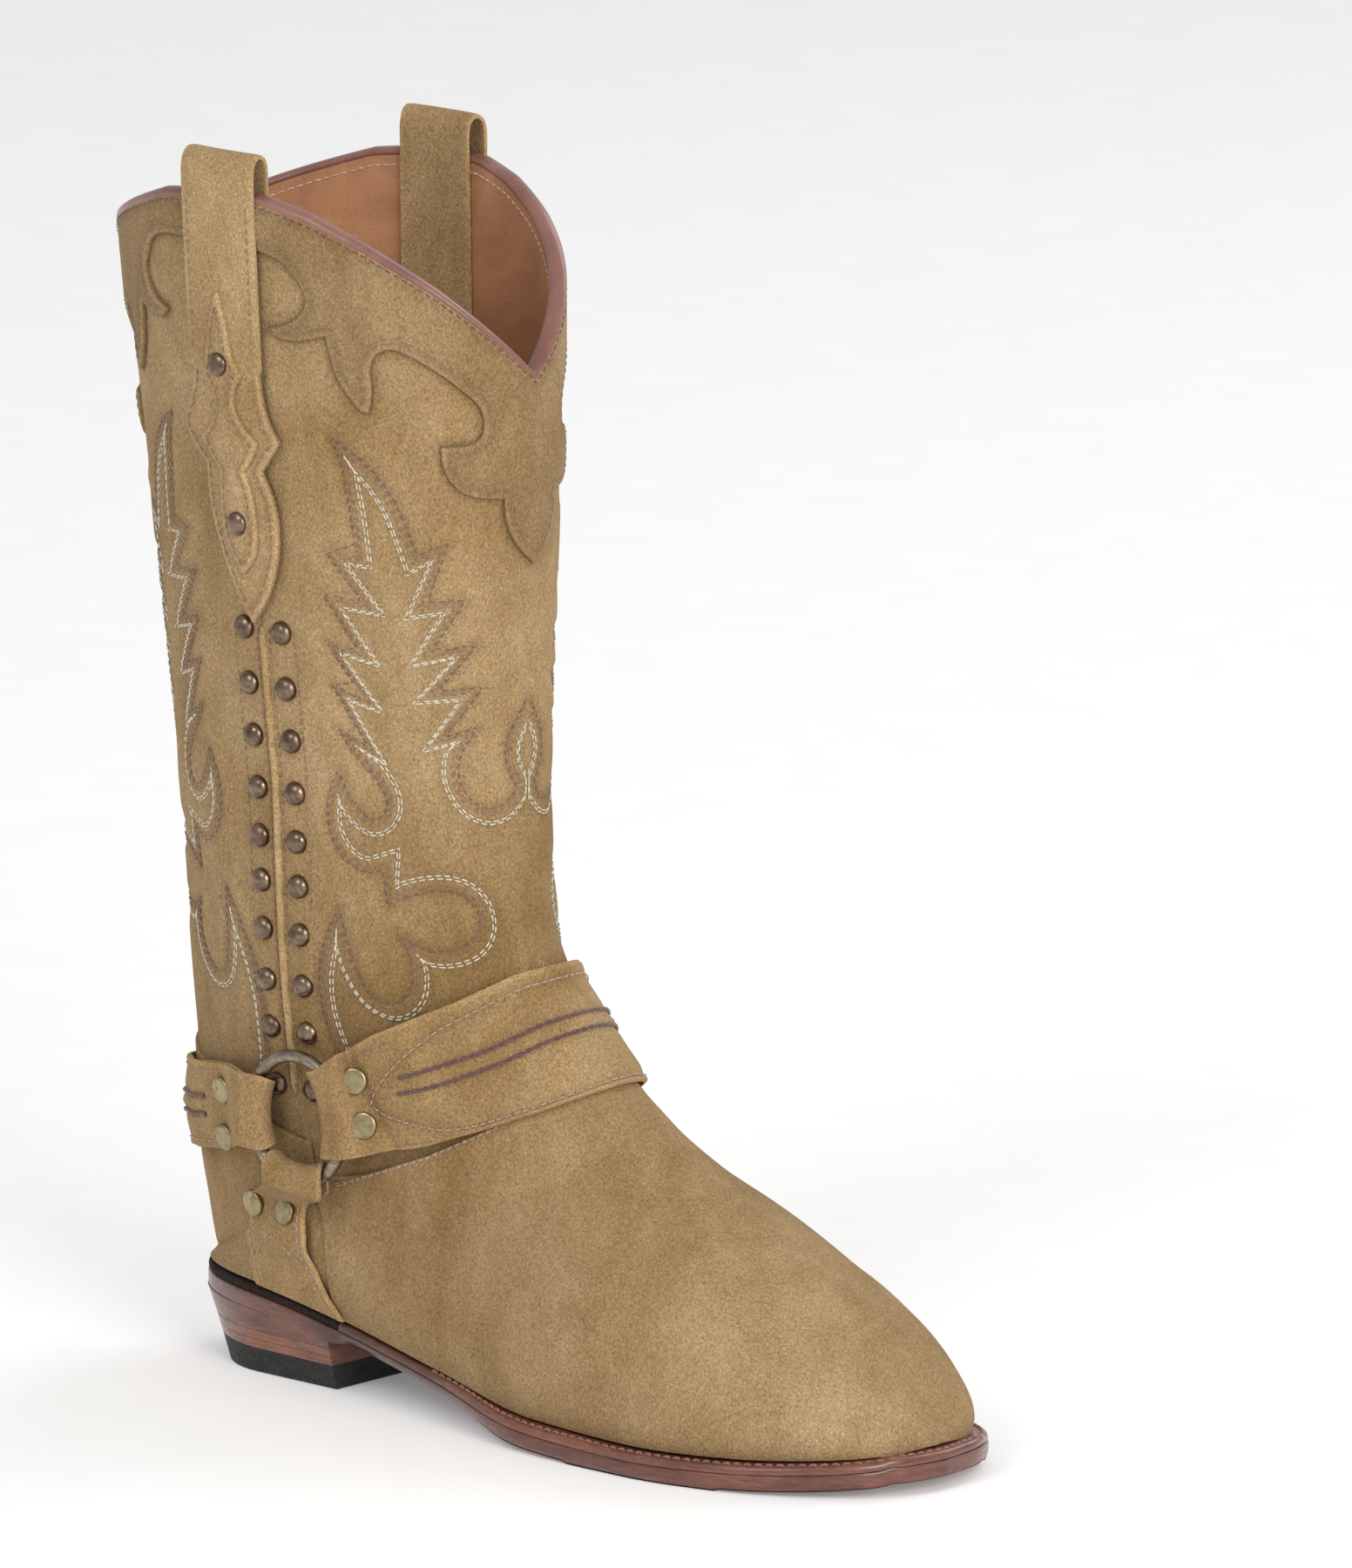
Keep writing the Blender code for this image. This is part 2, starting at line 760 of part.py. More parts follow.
# ------------------------------------------------------------------ rings, straps, studs
def ring_frame(side):
    """Centre of the ring and its outward axis."""
    t, u = place(RING_X, RING_Z, side)
    y = at(t, u, 0).y + side * RING_LIFT
    turn = math.radians(RING_TURN)
    axis = Vector((-math.sin(turn), side * math.cos(turn), 0))
    return Vector((RING_X, y, RING_Z)), axis


def ring(name, side, mat):
    centre, axis = ring_frame(side)
    forward = Vector((axis.y * side, -axis.x * side, 0)).normalized()
    up = Vector((0, 0, 1))
    loops = []
    for i in range(26):
        a = 2 * math.pi * i / 26
        out = forward * math.cos(a) + up * math.sin(a)
        loop = []
        for s in range(8):
            b = 2 * math.pi * s / 8
            loop.append(
                centre + out * (RING_RADIUS + RING_WIRE * math.cos(b)) + axis * (RING_WIRE * math.sin(b))
            )
        loops.append(loop)
    obj = tube(name, loops, mat, True)
    return obj, centre, axis


def loop_rows(side, lean, half, fold, far, width_shift=0.0, points=5, flip=1):
    """Rows of a strap end bent round the ring, from the under layer to the top layer.

    lean is the angle of the strap's pull above the forward direction, fold the distance of the fold's
    outer face from the ring centre, far where the flat run round the ring ends.
    """
    centre, axis = ring_frame(side)
    forward = Vector((axis.y * side, -axis.x * side, 0)).normalized()
    up = Vector((0, 0, 1))
    a = math.radians(lean)
    pull = forward * math.cos(a) + up * math.sin(a)
    across = (-forward * math.sin(a) + up * math.cos(a)) * flip
    rho = LOOP_RADIUS
    seat = fold + rho + STRAP_HALF
    profile = [((far, -rho), (0, -1)), ((seat + 2, -rho), (0, -1))]
    for deg in (270, 240, 210, 180, 150, 120, 90):
        b = math.radians(deg)
        profile.append(((seat + rho * math.cos(b), rho * math.sin(b)), (math.cos(b), math.sin(b))))
    profile += [((seat + 2, rho), (0, 1)), ((far, rho), (0, 1))]
    rows = []
    for (r, d), (nr, nd) in profile:
        line = []
        n = pull * nr + axis * nd
        for j in range(points):
            w = lerp(-half, half, j / (points - 1)) + width_shift
            p = centre + pull * r + axis * d + across * w
            line.append((p + n * STRAP_HALF, p - n * STRAP_HALF))
        rows.append(line)
    return rows


FRONT_TOP = [(0, 6.2), (0.1, 6.2), (0.23, 6.4), (0.37, 6.55), (0.43, 6.7)]
FRONT_BOTTOM = [(0, 9.3), (0.2, 9.35), (0.31, 9.15), (0.37, 8.8), (0.43, 8.4)]
SWING_CLEAR = 0.9


def strap_row(u, low, high, flip, points=5):
    """A row of the front strap at girth share u, from the lower edge to the upper edge."""
    line = []
    for j in range(points):
        t = lerp(along(FRONT_BOTTOM, abs(u)), along(FRONT_TOP, abs(u)), j / (points - 1))
        a = at(t, u, high)
        b = at(t, u, low)
        line.append((b, a) if flip else (a, b))
    return line


UNDER = (COVER[1] + SWING_CLEAR, COVER[1] + SWING_CLEAR + 1.3)
OVER = (UNDER[1] + GAP, UNDER[1] + GAP + 1.3)
BODY = (COVER[1] + SWING_CLEAR + 0.4, COVER[1] + SWING_CLEAR + 1.8)


def front_strap(mat):
    rows = []
    for side in (-1, 1):
        part = [strap_row(side * 0.365, *UNDER, True), strap_row(side * 0.405, *UNDER, True)]
        part += loop_rows(side, 9.5, 12.0, 7.6, 21.2)
        part += [strap_row(side * 0.405, *OVER, False), strap_row(side * 0.365, *OVER, False)]
        part += [strap_row(side * 0.33, *OVER, False)]
        part += [strap_row(side * u, *BODY, False) for u in (0.29, 0.24, 0.19, 0.14, 0.09, 0.045)]
        if side < 0:
            rows += part + [strap_row(0.0, *BODY, False)]
        else:
            rows += list(reversed(part))
    return grid_solid("front_strap", rows, mat)


def front_strap_overlay(mat):
    top = [(0, 6.55), (0.1, 6.5), (0.24, 6.75), (0.3, 7.0), (0.345, 7.45)]
    low = [(0, 8.75), (0.2, 8.7), (0.27, 8.5), (0.32, 8.1), (0.345, 7.6)]
    rows = []
    shares = [0.345, 0.32, 0.29, 0.25, 0.2, 0.15, 0.1, 0.05, 0]
    for u in [-s for s in shares] + list(reversed(shares[:-1])):
        line = []
        base = lerp(BODY[1], OVER[1], smooth((abs(u) - 0.27) / 0.05)) + GAP + 0.4
        for j in range(7):
            k = j / 6
            t = lerp(along(low, abs(u)), along(top, abs(u)), k)
            pad = 1.0 * math.sin(math.pi * k) * smooth((0.34 - abs(u)) / 0.06)
            line.append((at(t, u, base + 1.2 + pad), at(t, u, base)))
        rows.append(line)
    return grid_solid("front_strap_overlay", rows, mat)


def heel_row(x_share, low, high, flip, points=5):
    """A row of the heel strap; x_share is -1 or 1 at the ring ends and 0 on the back line."""
    side = -1 if x_share < 0 else 1
    k = abs(x_share)
    line = []
    for j in range(points):
        z = lerp(lerp(55, 67.5, k), lerp(83, 92, k), j / (points - 1))
        xb = back_x(z)
        x = xb + (34 - xb) * (1 - math.cos(k * math.pi / 2))
        t, u = place(x, z, side)
        a = at(t, u, high)
        b = at(t, u, low)
        line.append((b, a) if flip else (a, b))
    return line


def heel_strap(mat):
    rows = []
    for side in (-1, 1):
        part = [heel_row(side * 0.72, *UNDER, True), heel_row(side * 0.92, *UNDER, True)]
        part += loop_rows(side, 180, 10.8, 10.0, 21.8, flip=-1)
        part += [heel_row(side * 0.92, *OVER, False), heel_row(side * 0.72, *OVER, False)]
        part += [heel_row(side * 0.62, *OVER, False)]
        part += [heel_row(side * u, *BODY, False) for u in (0.5, 0.37, 0.25, 0.12)]
        if side < 0:
            rows += part + [heel_row(0.0, *BODY, False)]
        else:
            rows += list(reversed(part))
    return grid_solid("heel_strap", rows, mat)


SOLE_LEFT = [(24, 33), (40, 29), (50, 32), (58, 36)]
SOLE_RIGHT = [(22, 71), (30, 66), (40, 60), (50, 58), (58, 60)]


def sole_row(z, side, low, high, flip, points=5, foot=False):
    line = []
    for j in range(points):
        k = j / (points - 1)
        x = lerp(along(SOLE_LEFT, z), along(SOLE_RIGHT, z), k)
        zz = z
        if foot:
            zz = feather_z(x) + 0.7
        t, u = place(x, zz, side)
        a = at(t, u, high)
        b = at(t, u, low)
        line.append((b, a) if flip else (a, b))
    return line


def sole_strap(name, side, mat):
    thin = (COVER[1] + 0.75, COVER[1] + 2.05)
    thick = (thin[1] + GAP, thin[1] + GAP + 1.3)
    rows = [sole_row(z, side, *thin, True) for z in (45, 50, 54.5)]
    rows += loop_rows(side, 268, 9.5, 10.4, 20.9, width_shift=0.8, flip=1)
    rows += [sole_row(z, side, *thick, False) for z in (54.5, 50, 45)]
    rows += [sole_row(41, side, *thick, False), sole_row(36, side, *thin, False)]
    rows += [sole_row(30, side, *thin, False), sole_row(22, side, *thin, False, foot=True)]
    return grid_solid(name, rows, mat)


PULL_SHAPE = [
    (222.5, 0.9, 0.9), (232, 5.5, 6.5), (243, 9, 11.5), (255, 11, 13), (267, 11.5, 9.5), (277, 19, 16),
    (289, 12.5, 12), (300, 13, 13), (320, 13.5, 13.5), (343, 13.5, 13.5),
]


def strap_centre_x(z):
    return along([(223, 50), (300, 42), (352, 40)], z)


def shaft_row(z, left, right, low, high, side, flip=False, points=5):
    line = []
    for j in range(points):
        x = strap_centre_x(z) + lerp(-left, right, j / (points - 1))
        t, u = place(x, z, side)
        a = at(t, u, high)
        b = at(t, u, low)
        line.append((b, a) if flip else (a, b))
    return line


def pull_strap(name, side, mat):
    outside = (COLLAR[1] + GAP, COLLAR[1] + GAP + 1.3)
    inside = (LINING_SHAFT[0] - GAP - 1.3, LINING_SHAFT[0] - GAP)
    rows = []
    for z, left, right in PULL_SHAPE:
        rows.append(shaft_row(z, left, right, *outside, side))
    mid_out = (outside[0] + outside[1]) / 2
    mid_in = (inside[0] + inside[1]) / 2
    profile = [
        (mid_out + 0.5, 348.5), (mid_out + 0.6, 352.5), (mid_out - 0.7, 356), (-1.0, 357.6),
        (mid_in + 0.7, 356), (mid_in - 0.6, 352.5), (mid_in - 0.5, 348.5),
    ]
    path = [(mid_out, 343)] + profile + [(mid_in, 343)]
    for i in range(1, len(path) - 1):
        d, z = path[i]
        dd = path[i + 1][0] - path[i - 1][0]
        dz = path[i + 1][1] - path[i - 1][1]
        size = math.hypot(dd, dz)
        nd, nz = dz / size, -dd / size
        line = []
        for j in range(5):
            x = strap_centre_x(345) + lerp(-13.5, 13.5, j / 4)
            t, u = place(x, 345, side)
            n = normal(t, u)
            p = at(t, u, d)
            p.z = z
            step = (n * nd + Vector((0, 0, 1)) * nz) * STRAP_HALF
            line.append((p + step, p - step))
        rows.append(line)
    for z in (343, 332, 318, 306):
        rows.append(shaft_row(z, 13.5, 13.5, *inside, side, flip=True))
    return grid_solid(name, rows, mat)


OVERLAY_SHAPE = [
    (238, 0.8, 0.8), (244, 4, 4), (252, 6, 6), (262, 5, 5), (268, 5, 5), (276, 10, 10), (286, 5, 5),
    (294, 7.5, 7.5), (304, 5, 5), (317, 0.8, 0.8),
]


def strap_overlay(name, side, mat):
    base = COLLAR[1] + GAP + 1.3 + GAP
    rows = []
    for z, left, right in OVERLAY_SHAPE:
        rows.append(shaft_row(z, left, right, base, base + 1.2, side))
    return grid_solid(name, rows, mat)


def stud_row(name, side, offset, mat):
    """Ten domed studs on one thin backing strip that follows the side seam."""
    rows = []
    heads = bmesh.new()
    for z in [STUD_Z[0] + 2.4] + STUD_Z + [STUD_Z[-1] - 2.4]:
        x = along([(88, 54), (176, 54), (223, 51)], z) + offset
        line = []
        for w in (-1.4, 1.4):
            t, u = place(x + w, z, side)
            line.append((at(t, u, 1.0), at(t, u, 0.35)))
        rows.append(line)
    obj = grid_solid(name, rows, mat)
    for z in STUD_Z:
        x = along([(88, 54), (176, 54), (223, 51)], z) + offset
        t, u = place(x, z, side)
        dome_into(heads, at(t, u, 0.5), normal(t, u), STUD_RADIUS, 2.4, rim=0.0, segments=8, rings=2)
    boolean(obj, cutter(name + "_heads", heads), "UNION")
    return obj


def rivet(name, point, axis, length, mat):
    return head(name, point, axis, 3.65, 1.3, mat, rim=0.7, shank=length, rings=1)


def rivets_for(strap, places, mat):
    """Flat rivets through both layers, with their holes; places are (name, point, axis)."""
    holes = bmesh.new()
    made = []
    for name, point, axis in places:
        cylinder_into(holes, point, axis, 1.85, -5.5, 3.0)
        made.append(rivet(name, point, axis, 3.2, mat))
    boolean(strap, cutter(strap.name + "_holes", holes), "DIFFERENCE")
    return made


def main():
    suede = leather("suede_tan", (0.43, 0.28, 0.13), 0.95)
    suede_dark = leather("suede_collar", (0.38, 0.24, 0.11), 0.95)
    piping = leather("piping_leather", (0.23, 0.09, 0.07), 0.4)
    lining = leather("lining_leather", (0.43, 0.19, 0.085), 0.55)
    brass = leather("antique_brass", (0.35, 0.27, 0.19), 0.35, 1.0)
    nickel = leather("ring_metal", (0.42, 0.36, 0.3), 0.35, 1.0)
    stiff = leather("fibreboard", (0.32, 0.22, 0.13), 0.8)
    mats = {
        "sole": leather("sole_leather", (0.16, 0.05, 0.035), 0.45),
        "welt": leather("welt_leather", (0.2, 0.07, 0.05), 0.5),
        "insole": leather("insole_leather", (0.5, 0.34, 0.2), 0.8),
        "insock": leather("insock_leather", (0.43, 0.22, 0.11), 0.6),
        "cork": leather("cork", (0.35, 0.22, 0.12), 0.9),
        "steel": leather("shank_steel", (0.5, 0.5, 0.52), 0.4, 1.0),
        "stack": leather("heel_stack_leather", (0.15, 0.05, 0.04), 0.45),
        "rubber": leather("heel_rubber", (0.02, 0.02, 0.02), 0.7),
    }
    fixed = [
        shaft_front(suede), shaft_back(suede), vamp(suede), counter(suede), toe_puff(stiff),
        counter_stiffener(stiff), lining_front(lining), lining_back(lining), collar_front(suede_dark),
        collar_back(suede_dark), top_binding(piping),
    ]
    sole_unit(mats)
    heel(mats)
    for side, word in ((-1, "outer"), (1, "inner")):
        fixed.append(side_piping("side_piping_" + word, side, suede))
        pull_strap("pull_strap_" + word, side, suede)
        strap_overlay("strap_overlay_" + word, side, suede)
        for z, tag in ((296, "upper"), (252, "lower")):
            t, u = place(strap_centre_x(z), z, side)
            top = COLLAR[1] + GAP + 1.3 + GAP + 1.2 + 0.3
            head("strap_stud_%s_%s" % (tag, word), at(t, u, top), normal(t, u), STUD_RADIUS, 2.2, brass)
        stud_row("stud_row_front_" + word, side, STUD_SIDE, brass)
        stud_row("stud_row_back_" + word, side, -STUD_SIDE, brass)
        obj, centre, axis = ring("harness_ring_" + word, side, nickel)
        pivot_on("ring_pivot_" + word, centre, axis, [obj])
        strap = sole_strap("sole_strap_" + word, side, suede)
        lift = COVER[1] + 2.05 + GAP + 1.3 + 0.45
        places = []
        for x, tag in ((37, "back"), (51, "front")):
            t, u = place(x, 49, side)
            places.append(("sole_rivet_%s_%s" % (tag, word), at(t, u, lift), normal(t, u)))
        rivets_for(strap, places, brass)
    lift = OVER[1] + 0.4
    strap = front_strap(suede)
    places = []
    for side, word in ((-1, "outer"), (1, "inner")):
        for t, tag in ((6.98, "upper"), (7.98, "lower")):
            u = side * 0.388
            places.append(("front_rivet_%s_%s" % (tag, word), at(t, u, lift), normal(t, u)))
    moving = rivets_for(strap, places, brass) + [strap, front_strap_overlay(suede)]
    pivot_on("front_strap_pivot", (RING_X, 0, RING_Z), (0, 1, 0), moving)
    strap = heel_strap(suede)
    places = []
    for side, word in ((-1, "outer"), (1, "inner")):
        for z, tag in ((84, "upper"), (70, "lower")):
            t, u = place(26, z, side)
            places.append(("heel_rivet_%s_%s" % (tag, word), at(t, u, lift), normal(t, u)))
    moving = rivets_for(strap, places, brass) + [strap]
    pivot_on("heel_strap_pivot", (RING_X, 0, RING_Z), (0, 1, 0), moving)


clear_scene()
BOOT = bpy.data.collections.new("western_harness_boot")
CUTTERS = bpy.data.collections.new("cutters")
bpy.context.scene.collection.children.link(BOOT)
bpy.context.scene.collection.children.link(CUTTERS)
CUTTERS.hide_render = True
ROOT = bpy.data.objects.new("boot_root", None)
BOOT.objects.link(ROOT)
main()
ROOT.location = (-BOX_MIDDLE_X * MM, -BOX_MIDDLE_Y * MM, 0)
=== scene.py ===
"""The looks of a tan suede harness boot for the right foot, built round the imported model.

The upper is drawn on the same last surface as the solids: stations run from the top of the shaft (0) down to
the heel (9) and out to the toe (21). Shapes are worked out in millimetres in the last's own frame, and
made() turns them into metres in the shared frame. Patterns on the shaft are drawn flat, as arc length from
the front or back line against height, and then laid on the surface.
"""

import math

import bpy
import numpy as np
from mathutils import Matrix, Vector, geometry


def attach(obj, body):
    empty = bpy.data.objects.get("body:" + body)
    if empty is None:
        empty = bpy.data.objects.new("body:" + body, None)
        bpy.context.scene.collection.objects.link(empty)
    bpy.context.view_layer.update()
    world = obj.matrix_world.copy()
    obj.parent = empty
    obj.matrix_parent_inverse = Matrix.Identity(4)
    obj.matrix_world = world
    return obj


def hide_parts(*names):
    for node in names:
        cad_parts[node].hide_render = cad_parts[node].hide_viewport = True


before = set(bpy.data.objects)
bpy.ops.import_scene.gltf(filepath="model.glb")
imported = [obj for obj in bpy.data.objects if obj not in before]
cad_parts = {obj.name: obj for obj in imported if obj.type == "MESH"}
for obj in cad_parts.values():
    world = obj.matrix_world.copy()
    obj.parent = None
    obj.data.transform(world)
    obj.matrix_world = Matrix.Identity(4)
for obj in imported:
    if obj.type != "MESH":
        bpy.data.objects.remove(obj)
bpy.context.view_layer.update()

MM = 0.001
MIDDLE = np.array([117.3, -2.4, 0.0])
UP = np.array([0.0, 0.0, 1.0])
SHARP = math.radians(52)

# ------------------------------------------------------------------ last stations
# front or top point x, z; back or bottom point x, z; half widths lateral, medial;
# half widths of the feather edge lateral, medial; centre y
LAST = np.array([
    (115, 352, -34, 352, 46, 45, 0, 0, -3),
    (116, 308, -29, 308, 45, 44, 0, 0, -3),
    (116, 262, -23, 262, 43, 42, 0, 0, -3),
    (115, 214, -17, 214, 41, 39, 0, 0, -3),
    (114, 176, -12, 172, 39, 37, 0, 0, -3),
    (115, 150, -9, 132, 38, 36, 0, 0, -2.5),
    (120, 131, -8, 95, 37, 35, 0, 0, -2),
    (129, 116, -9, 62, 35, 33.5, 0, 0, -1),
    (140, 104, -7, 42, 33, 33, 0, 0, -0.5),
    (147, 98, -4, 27.3, 32.5, 32.5, 0, 0, 0),
    (151, 95, -1.5, 27.3, 32.5, 32.5, 11.3, 11.3, 0),
    (157, 91, 6, 27.2, 33, 33, 19.3, 19.3, 0),
    (166, 85, 28, 26.7, 34, 34, 27.6, 27.6, 0),
    (178, 78, 66, 22.5, 37, 37, 31, 28, 0),
    (191, 71, 110, 15, 42, 40.5, 36, 27, 1),
    (204, 64, 152, 9.3, 46, 43, 43, 35, 2),
    (218, 56, 190, 8.1, 46, 44, 44, 42, 3),
    (231, 47, 220, 8.6, 41, 41, 39, 39, 4),
    (243, 37, 241, 9.6, 32, 34, 30, 33, 5),
    (252, 27, 253, 10.5, 22, 25, 21, 24, 6),
    (258, 19, 259, 11.2, 12, 14, 11, 13, 6),
    (261, 12, 261, 12, 0, 0, 0, 0, 6),
], float)
HEEL_STATION = 9.0
SEAM_END = 12.9
SPREAD = 6.0
TOE_STATION = 20.75
SEAM_GAP = 0.15

SEAM_X = [(0, 40), (2.85, 51), (4, 54), (7, 54), (9, 58), (12.9, 66)]
RIM = [
    (0, 1.25), (0.1, 0.95), (0.19, 0.68), (0.29, 0.42), (0.37, 0.25), (0.43, 0.17),
    (0.5, 0.15), (0.61, 0.22), (0.78, 0.48), (0.9, 0.75), (1.0, 0.92),
]
VAMP_TOP = [
    (0, 5.85), (0.05, 6.2), (0.12, 7.1), (0.2, 8.3), (0.28, 9.1), (0.38, 9.4), (0.46, 9.0), (0.56, 8.4),
]
COUNTER_TOP = [(0, 95), (0.4, 90), (0.75, 78), (1, 72)]

# depths of the layers from the last surface
COVER_SHIFT = -1.3
PANEL_IN = -1.5
COVER = (0.35, 1.6)
COLLAR = (0.1, 1.6)
LINING_SHAFT = (-3.0, -1.9)
GAP = 0.4

RING_X = 61
RING_Z = 81
RING_RADIUS = 18.1
RING_WIRE = 1.8
RING_LIFT = 7.8
RING_TURN = 1
STRAP_HALF = 0.65
LOOP_RADIUS = RING_WIRE + 0.45 + STRAP_HALF
SWING_CLEAR = 0.9
UNDER = (COVER[1] + SWING_CLEAR, COVER[1] + SWING_CLEAR + 1.3)
OVER = (UNDER[1] + GAP, UNDER[1] + GAP + 1.3)
BODY = (COVER[1] + SWING_CLEAR + 0.4, COVER[1] + SWING_CLEAR + 1.8)

STUD_Z = [221, 205, 190, 175, 161, 148, 134, 119, 105, 88]
STUD_SIDE = 7.0
STUD_LINE = [(88, 54), (176, 54), (223, 51)]
SIDES = {"outer": -1, "inner": 1}
# the furthest station that points are placed at, the lowest height of the flat drawings,
# and how many points are measured at a time
LAST_STATION = 20.9
LOWEST = 40
BATCH = 4000
# station of the ball of the foot, and how far under the rim the panels end, in millimetres
BALL = 14.0
RIM_DROP = 0.5


def smooth(v):
    v = np.clip(v, 0, 1)
    return v * v * (3 - 2 * v)


def bell(v, width):
    return np.exp(-(v / width) ** 2)


def lerp(a, b, k):
    return a + (b - a) * k


def steps(count):
    """Shares from 0 to 1 down a grid's rows."""
    return np.linspace(0, 1, count)[:, None]


def along(table, v):
    """The table's second column, read off at v in its first."""
    xs, ys = zip(*table)
    return np.interp(v, xs, ys)


def unit(v):
    return v / np.maximum(np.linalg.norm(v, axis=-1, keepdims=True), 1e-9)


# ------------------------------------------------------------------ last surface
def slope(a, b):
    both = a + b
    return np.where(a * b <= 0, 0.0, 2 * a * b / np.where(both == 0, 1, both))


def rows(t):
    """The last's row at each station t, by a smooth curve that never overshoots."""
    end = len(LAST) - 1
    t = np.clip(np.asarray(t, float), 0, end)
    i = np.minimum(t.astype(int), end - 1)
    k = (t - i)[..., None]
    p1 = LAST[i]
    p2 = LAST[i + 1]
    step = p2 - p1
    before = p1 - LAST[np.maximum(i - 1, 0)]
    after = LAST[np.minimum(i + 2, end)] - p2
    m1 = np.where((i > 0)[..., None], slope(before, step), step)
    m2 = np.where((i + 2 <= end)[..., None], slope(step, after), step)
    return (
        (2 * k**3 - 3 * k**2 + 1) * p1 + (k**3 - 2 * k**2 + k) * m1
        + (3 * k**2 - 2 * k**3) * p2 + (k**3 - k**2) * m2
    )


def half_width(row, side):
    w = np.maximum(np.where(side < 0, row[..., 4], row[..., 5]), 0.01)
    b = np.where(side < 0, row[..., 6], row[..., 7])
    ratio = np.clip(b / w, 0, 0.999)
    return w, np.where(ratio > 1e-6, math.pi - np.arcsin(ratio), math.pi)


def bare(t, u):
    """Points of the last: u is 0 on the front line, -1 and 1 on the back line or the feather edge."""
    t, u = np.broadcast_arrays(np.asarray(t, float), np.asarray(u, float))
    u = np.where(u > 1, u - 2, np.where(u < -1, u + 2, u))
    row = rows(t)
    w, end = half_width(row, u)
    phi = np.abs(u) * end
    k = (1 - np.cos(phi)) / (1 - np.cos(end))
    x = lerp(row[..., 0], row[..., 2], k)
    y = row[..., 8] + np.sign(u) * w * np.sin(phi)
    z = lerp(row[..., 1], row[..., 3], k)
    return np.stack([x, y, z], -1)


FEATHER = rows(HEEL_STATION + np.arange(49) * 0.25)


def feather_z(x):
    return np.interp(x, FEATHER[:, 2], FEATHER[:, 3])


def normal(t, u):
    """Outward normals of the last, level where the upper meets the sole."""
    t, u = np.broadcast_arrays(np.asarray(t, float), np.asarray(u, float))
    h = 0.02
    u = np.where(t >= HEEL_STATION - h, np.clip(u, -0.98, 0.98), u)
    du = bare(t, u + h) - bare(t, u - h)
    dt = bare(np.clip(t + h, 0, LAST_STATION), u) - bare(np.clip(t - h, 0, LAST_STATION), u)
    n = np.cross(dt, du)
    row = rows(t)
    mid = np.stack([(row[..., 0] + row[..., 2]) / 2, row[..., 8], (row[..., 1] + row[..., 3]) / 2], -1)
    p = bare(t, u)
    n = unit(np.where(np.sum(n * (p - mid), -1, keepdims=True) < 0, -n, n))
    n[..., 2] *= smooth((p[..., 2] - feather_z(p[..., 0])) / 11.0)
    return unit(n)


def at(t, u, d):
    """Points at depth d from the last's surface, which sinks a little below the ankle."""
    shift = COVER_SHIFT * smooth((np.asarray(t, float) - 5.0) / 1.6)
    return bare(t, u) + normal(t, u) * (np.asarray(d, float) + shift)[..., None]


def line_at(t, u, d):
    """A line on the boot for stitches: its points at depth d and their normals."""
    return at(t, u, d), normal(t, u)


def girth(t, x, side):
    """Share of the girth at which station t reaches x on a side."""
    row = rows(t)
    k = np.clip((row[..., 0] - x) / (row[..., 0] - row[..., 2]), 0, 1)
    end = half_width(row, np.asarray(side))[1]
    return np.clip(np.arccos(np.clip(1 - k * (1 - np.cos(end)), -1, 1)) / end, 0, 1)


def place(x, z, side):
    """Station and signed share of the girth of the last's side points at x, z."""
    x, z = np.broadcast_arrays(np.asarray(x, float), np.asarray(z, float))
    low = np.zeros(x.shape)
    high = np.full(x.shape, LAST_STATION)
    for _ in range(34):
        t = (low + high) / 2
        row = rows(t)
        k = np.clip((row[..., 0] - x) / np.maximum(row[..., 0] - row[..., 2], 1e-6), 0, 1)
        above = lerp(row[..., 1], row[..., 3], k) > z
        low = np.where(above, t, low)
        high = np.where(above, high, t)
    return t, side * girth(t, x, side)


def back_x(z):
    row = rows(np.linspace(0, HEEL_STATION, 400))
    return np.interp(z, row[::-1, 3], row[::-1, 2])


def arc_tables(from_back):
    """Tables that turn arc length from the front or back line and height into station and girth share."""
    stations = np.linspace(0, 10, 201)
    shares = np.linspace(0, 1, 161)
    u = 1 - shares if from_back else shares
    points = bare(stations[:, None], -u[None, :])
    gaps = np.linalg.norm(np.diff(points, axis=1), axis=2)
    arcs = np.concatenate([np.zeros((len(stations), 1)), np.cumsum(gaps, axis=1)], axis=1)
    reach = np.arange(0, 171.0)
    share = np.array([np.interp(reach, arc, shares) for arc in arcs])
    height = bare(stations[:, None], -(1 - share if from_back else share))[..., 2]
    levels = np.arange(LOWEST, 353.0)
    t = np.array([np.interp(levels, height[::-1, k], stations[::-1]) for k in range(len(reach))])
    s = np.array([np.interp(t[k], stations, share[:, k]) for k in range(len(reach))])
    return {"t": t, "s": s, "arcs": arcs, "back": from_back}


def bilinear(table, a, b):
    a = np.clip(a, 0, table.shape[0] - 1.001)
    b = np.clip(b, 0, table.shape[1] - 1.001)
    i = a.astype(int)
    j = b.astype(int)
    low = lerp(table[i, j], table[i, j + 1], b - j)
    high = lerp(table[i + 1, j], table[i + 1, j + 1], b - j)
    return lerp(low, high, a - i)


FRONT = arc_tables(False)
BACK = arc_tables(True)


def on_shaft(tables, flat):
    """Station and share at flat points (arc, height); a negative arc is the lateral side."""
    arc = np.abs(flat[..., 0])
    level = flat[..., 1] - LOWEST
    t = bilinear(tables["t"], arc, level)
    s = bilinear(tables["s"], arc, level)
    return t, np.where(flat[..., 0] < 0, -1, 1) * (1 - s if tables["back"] else s)


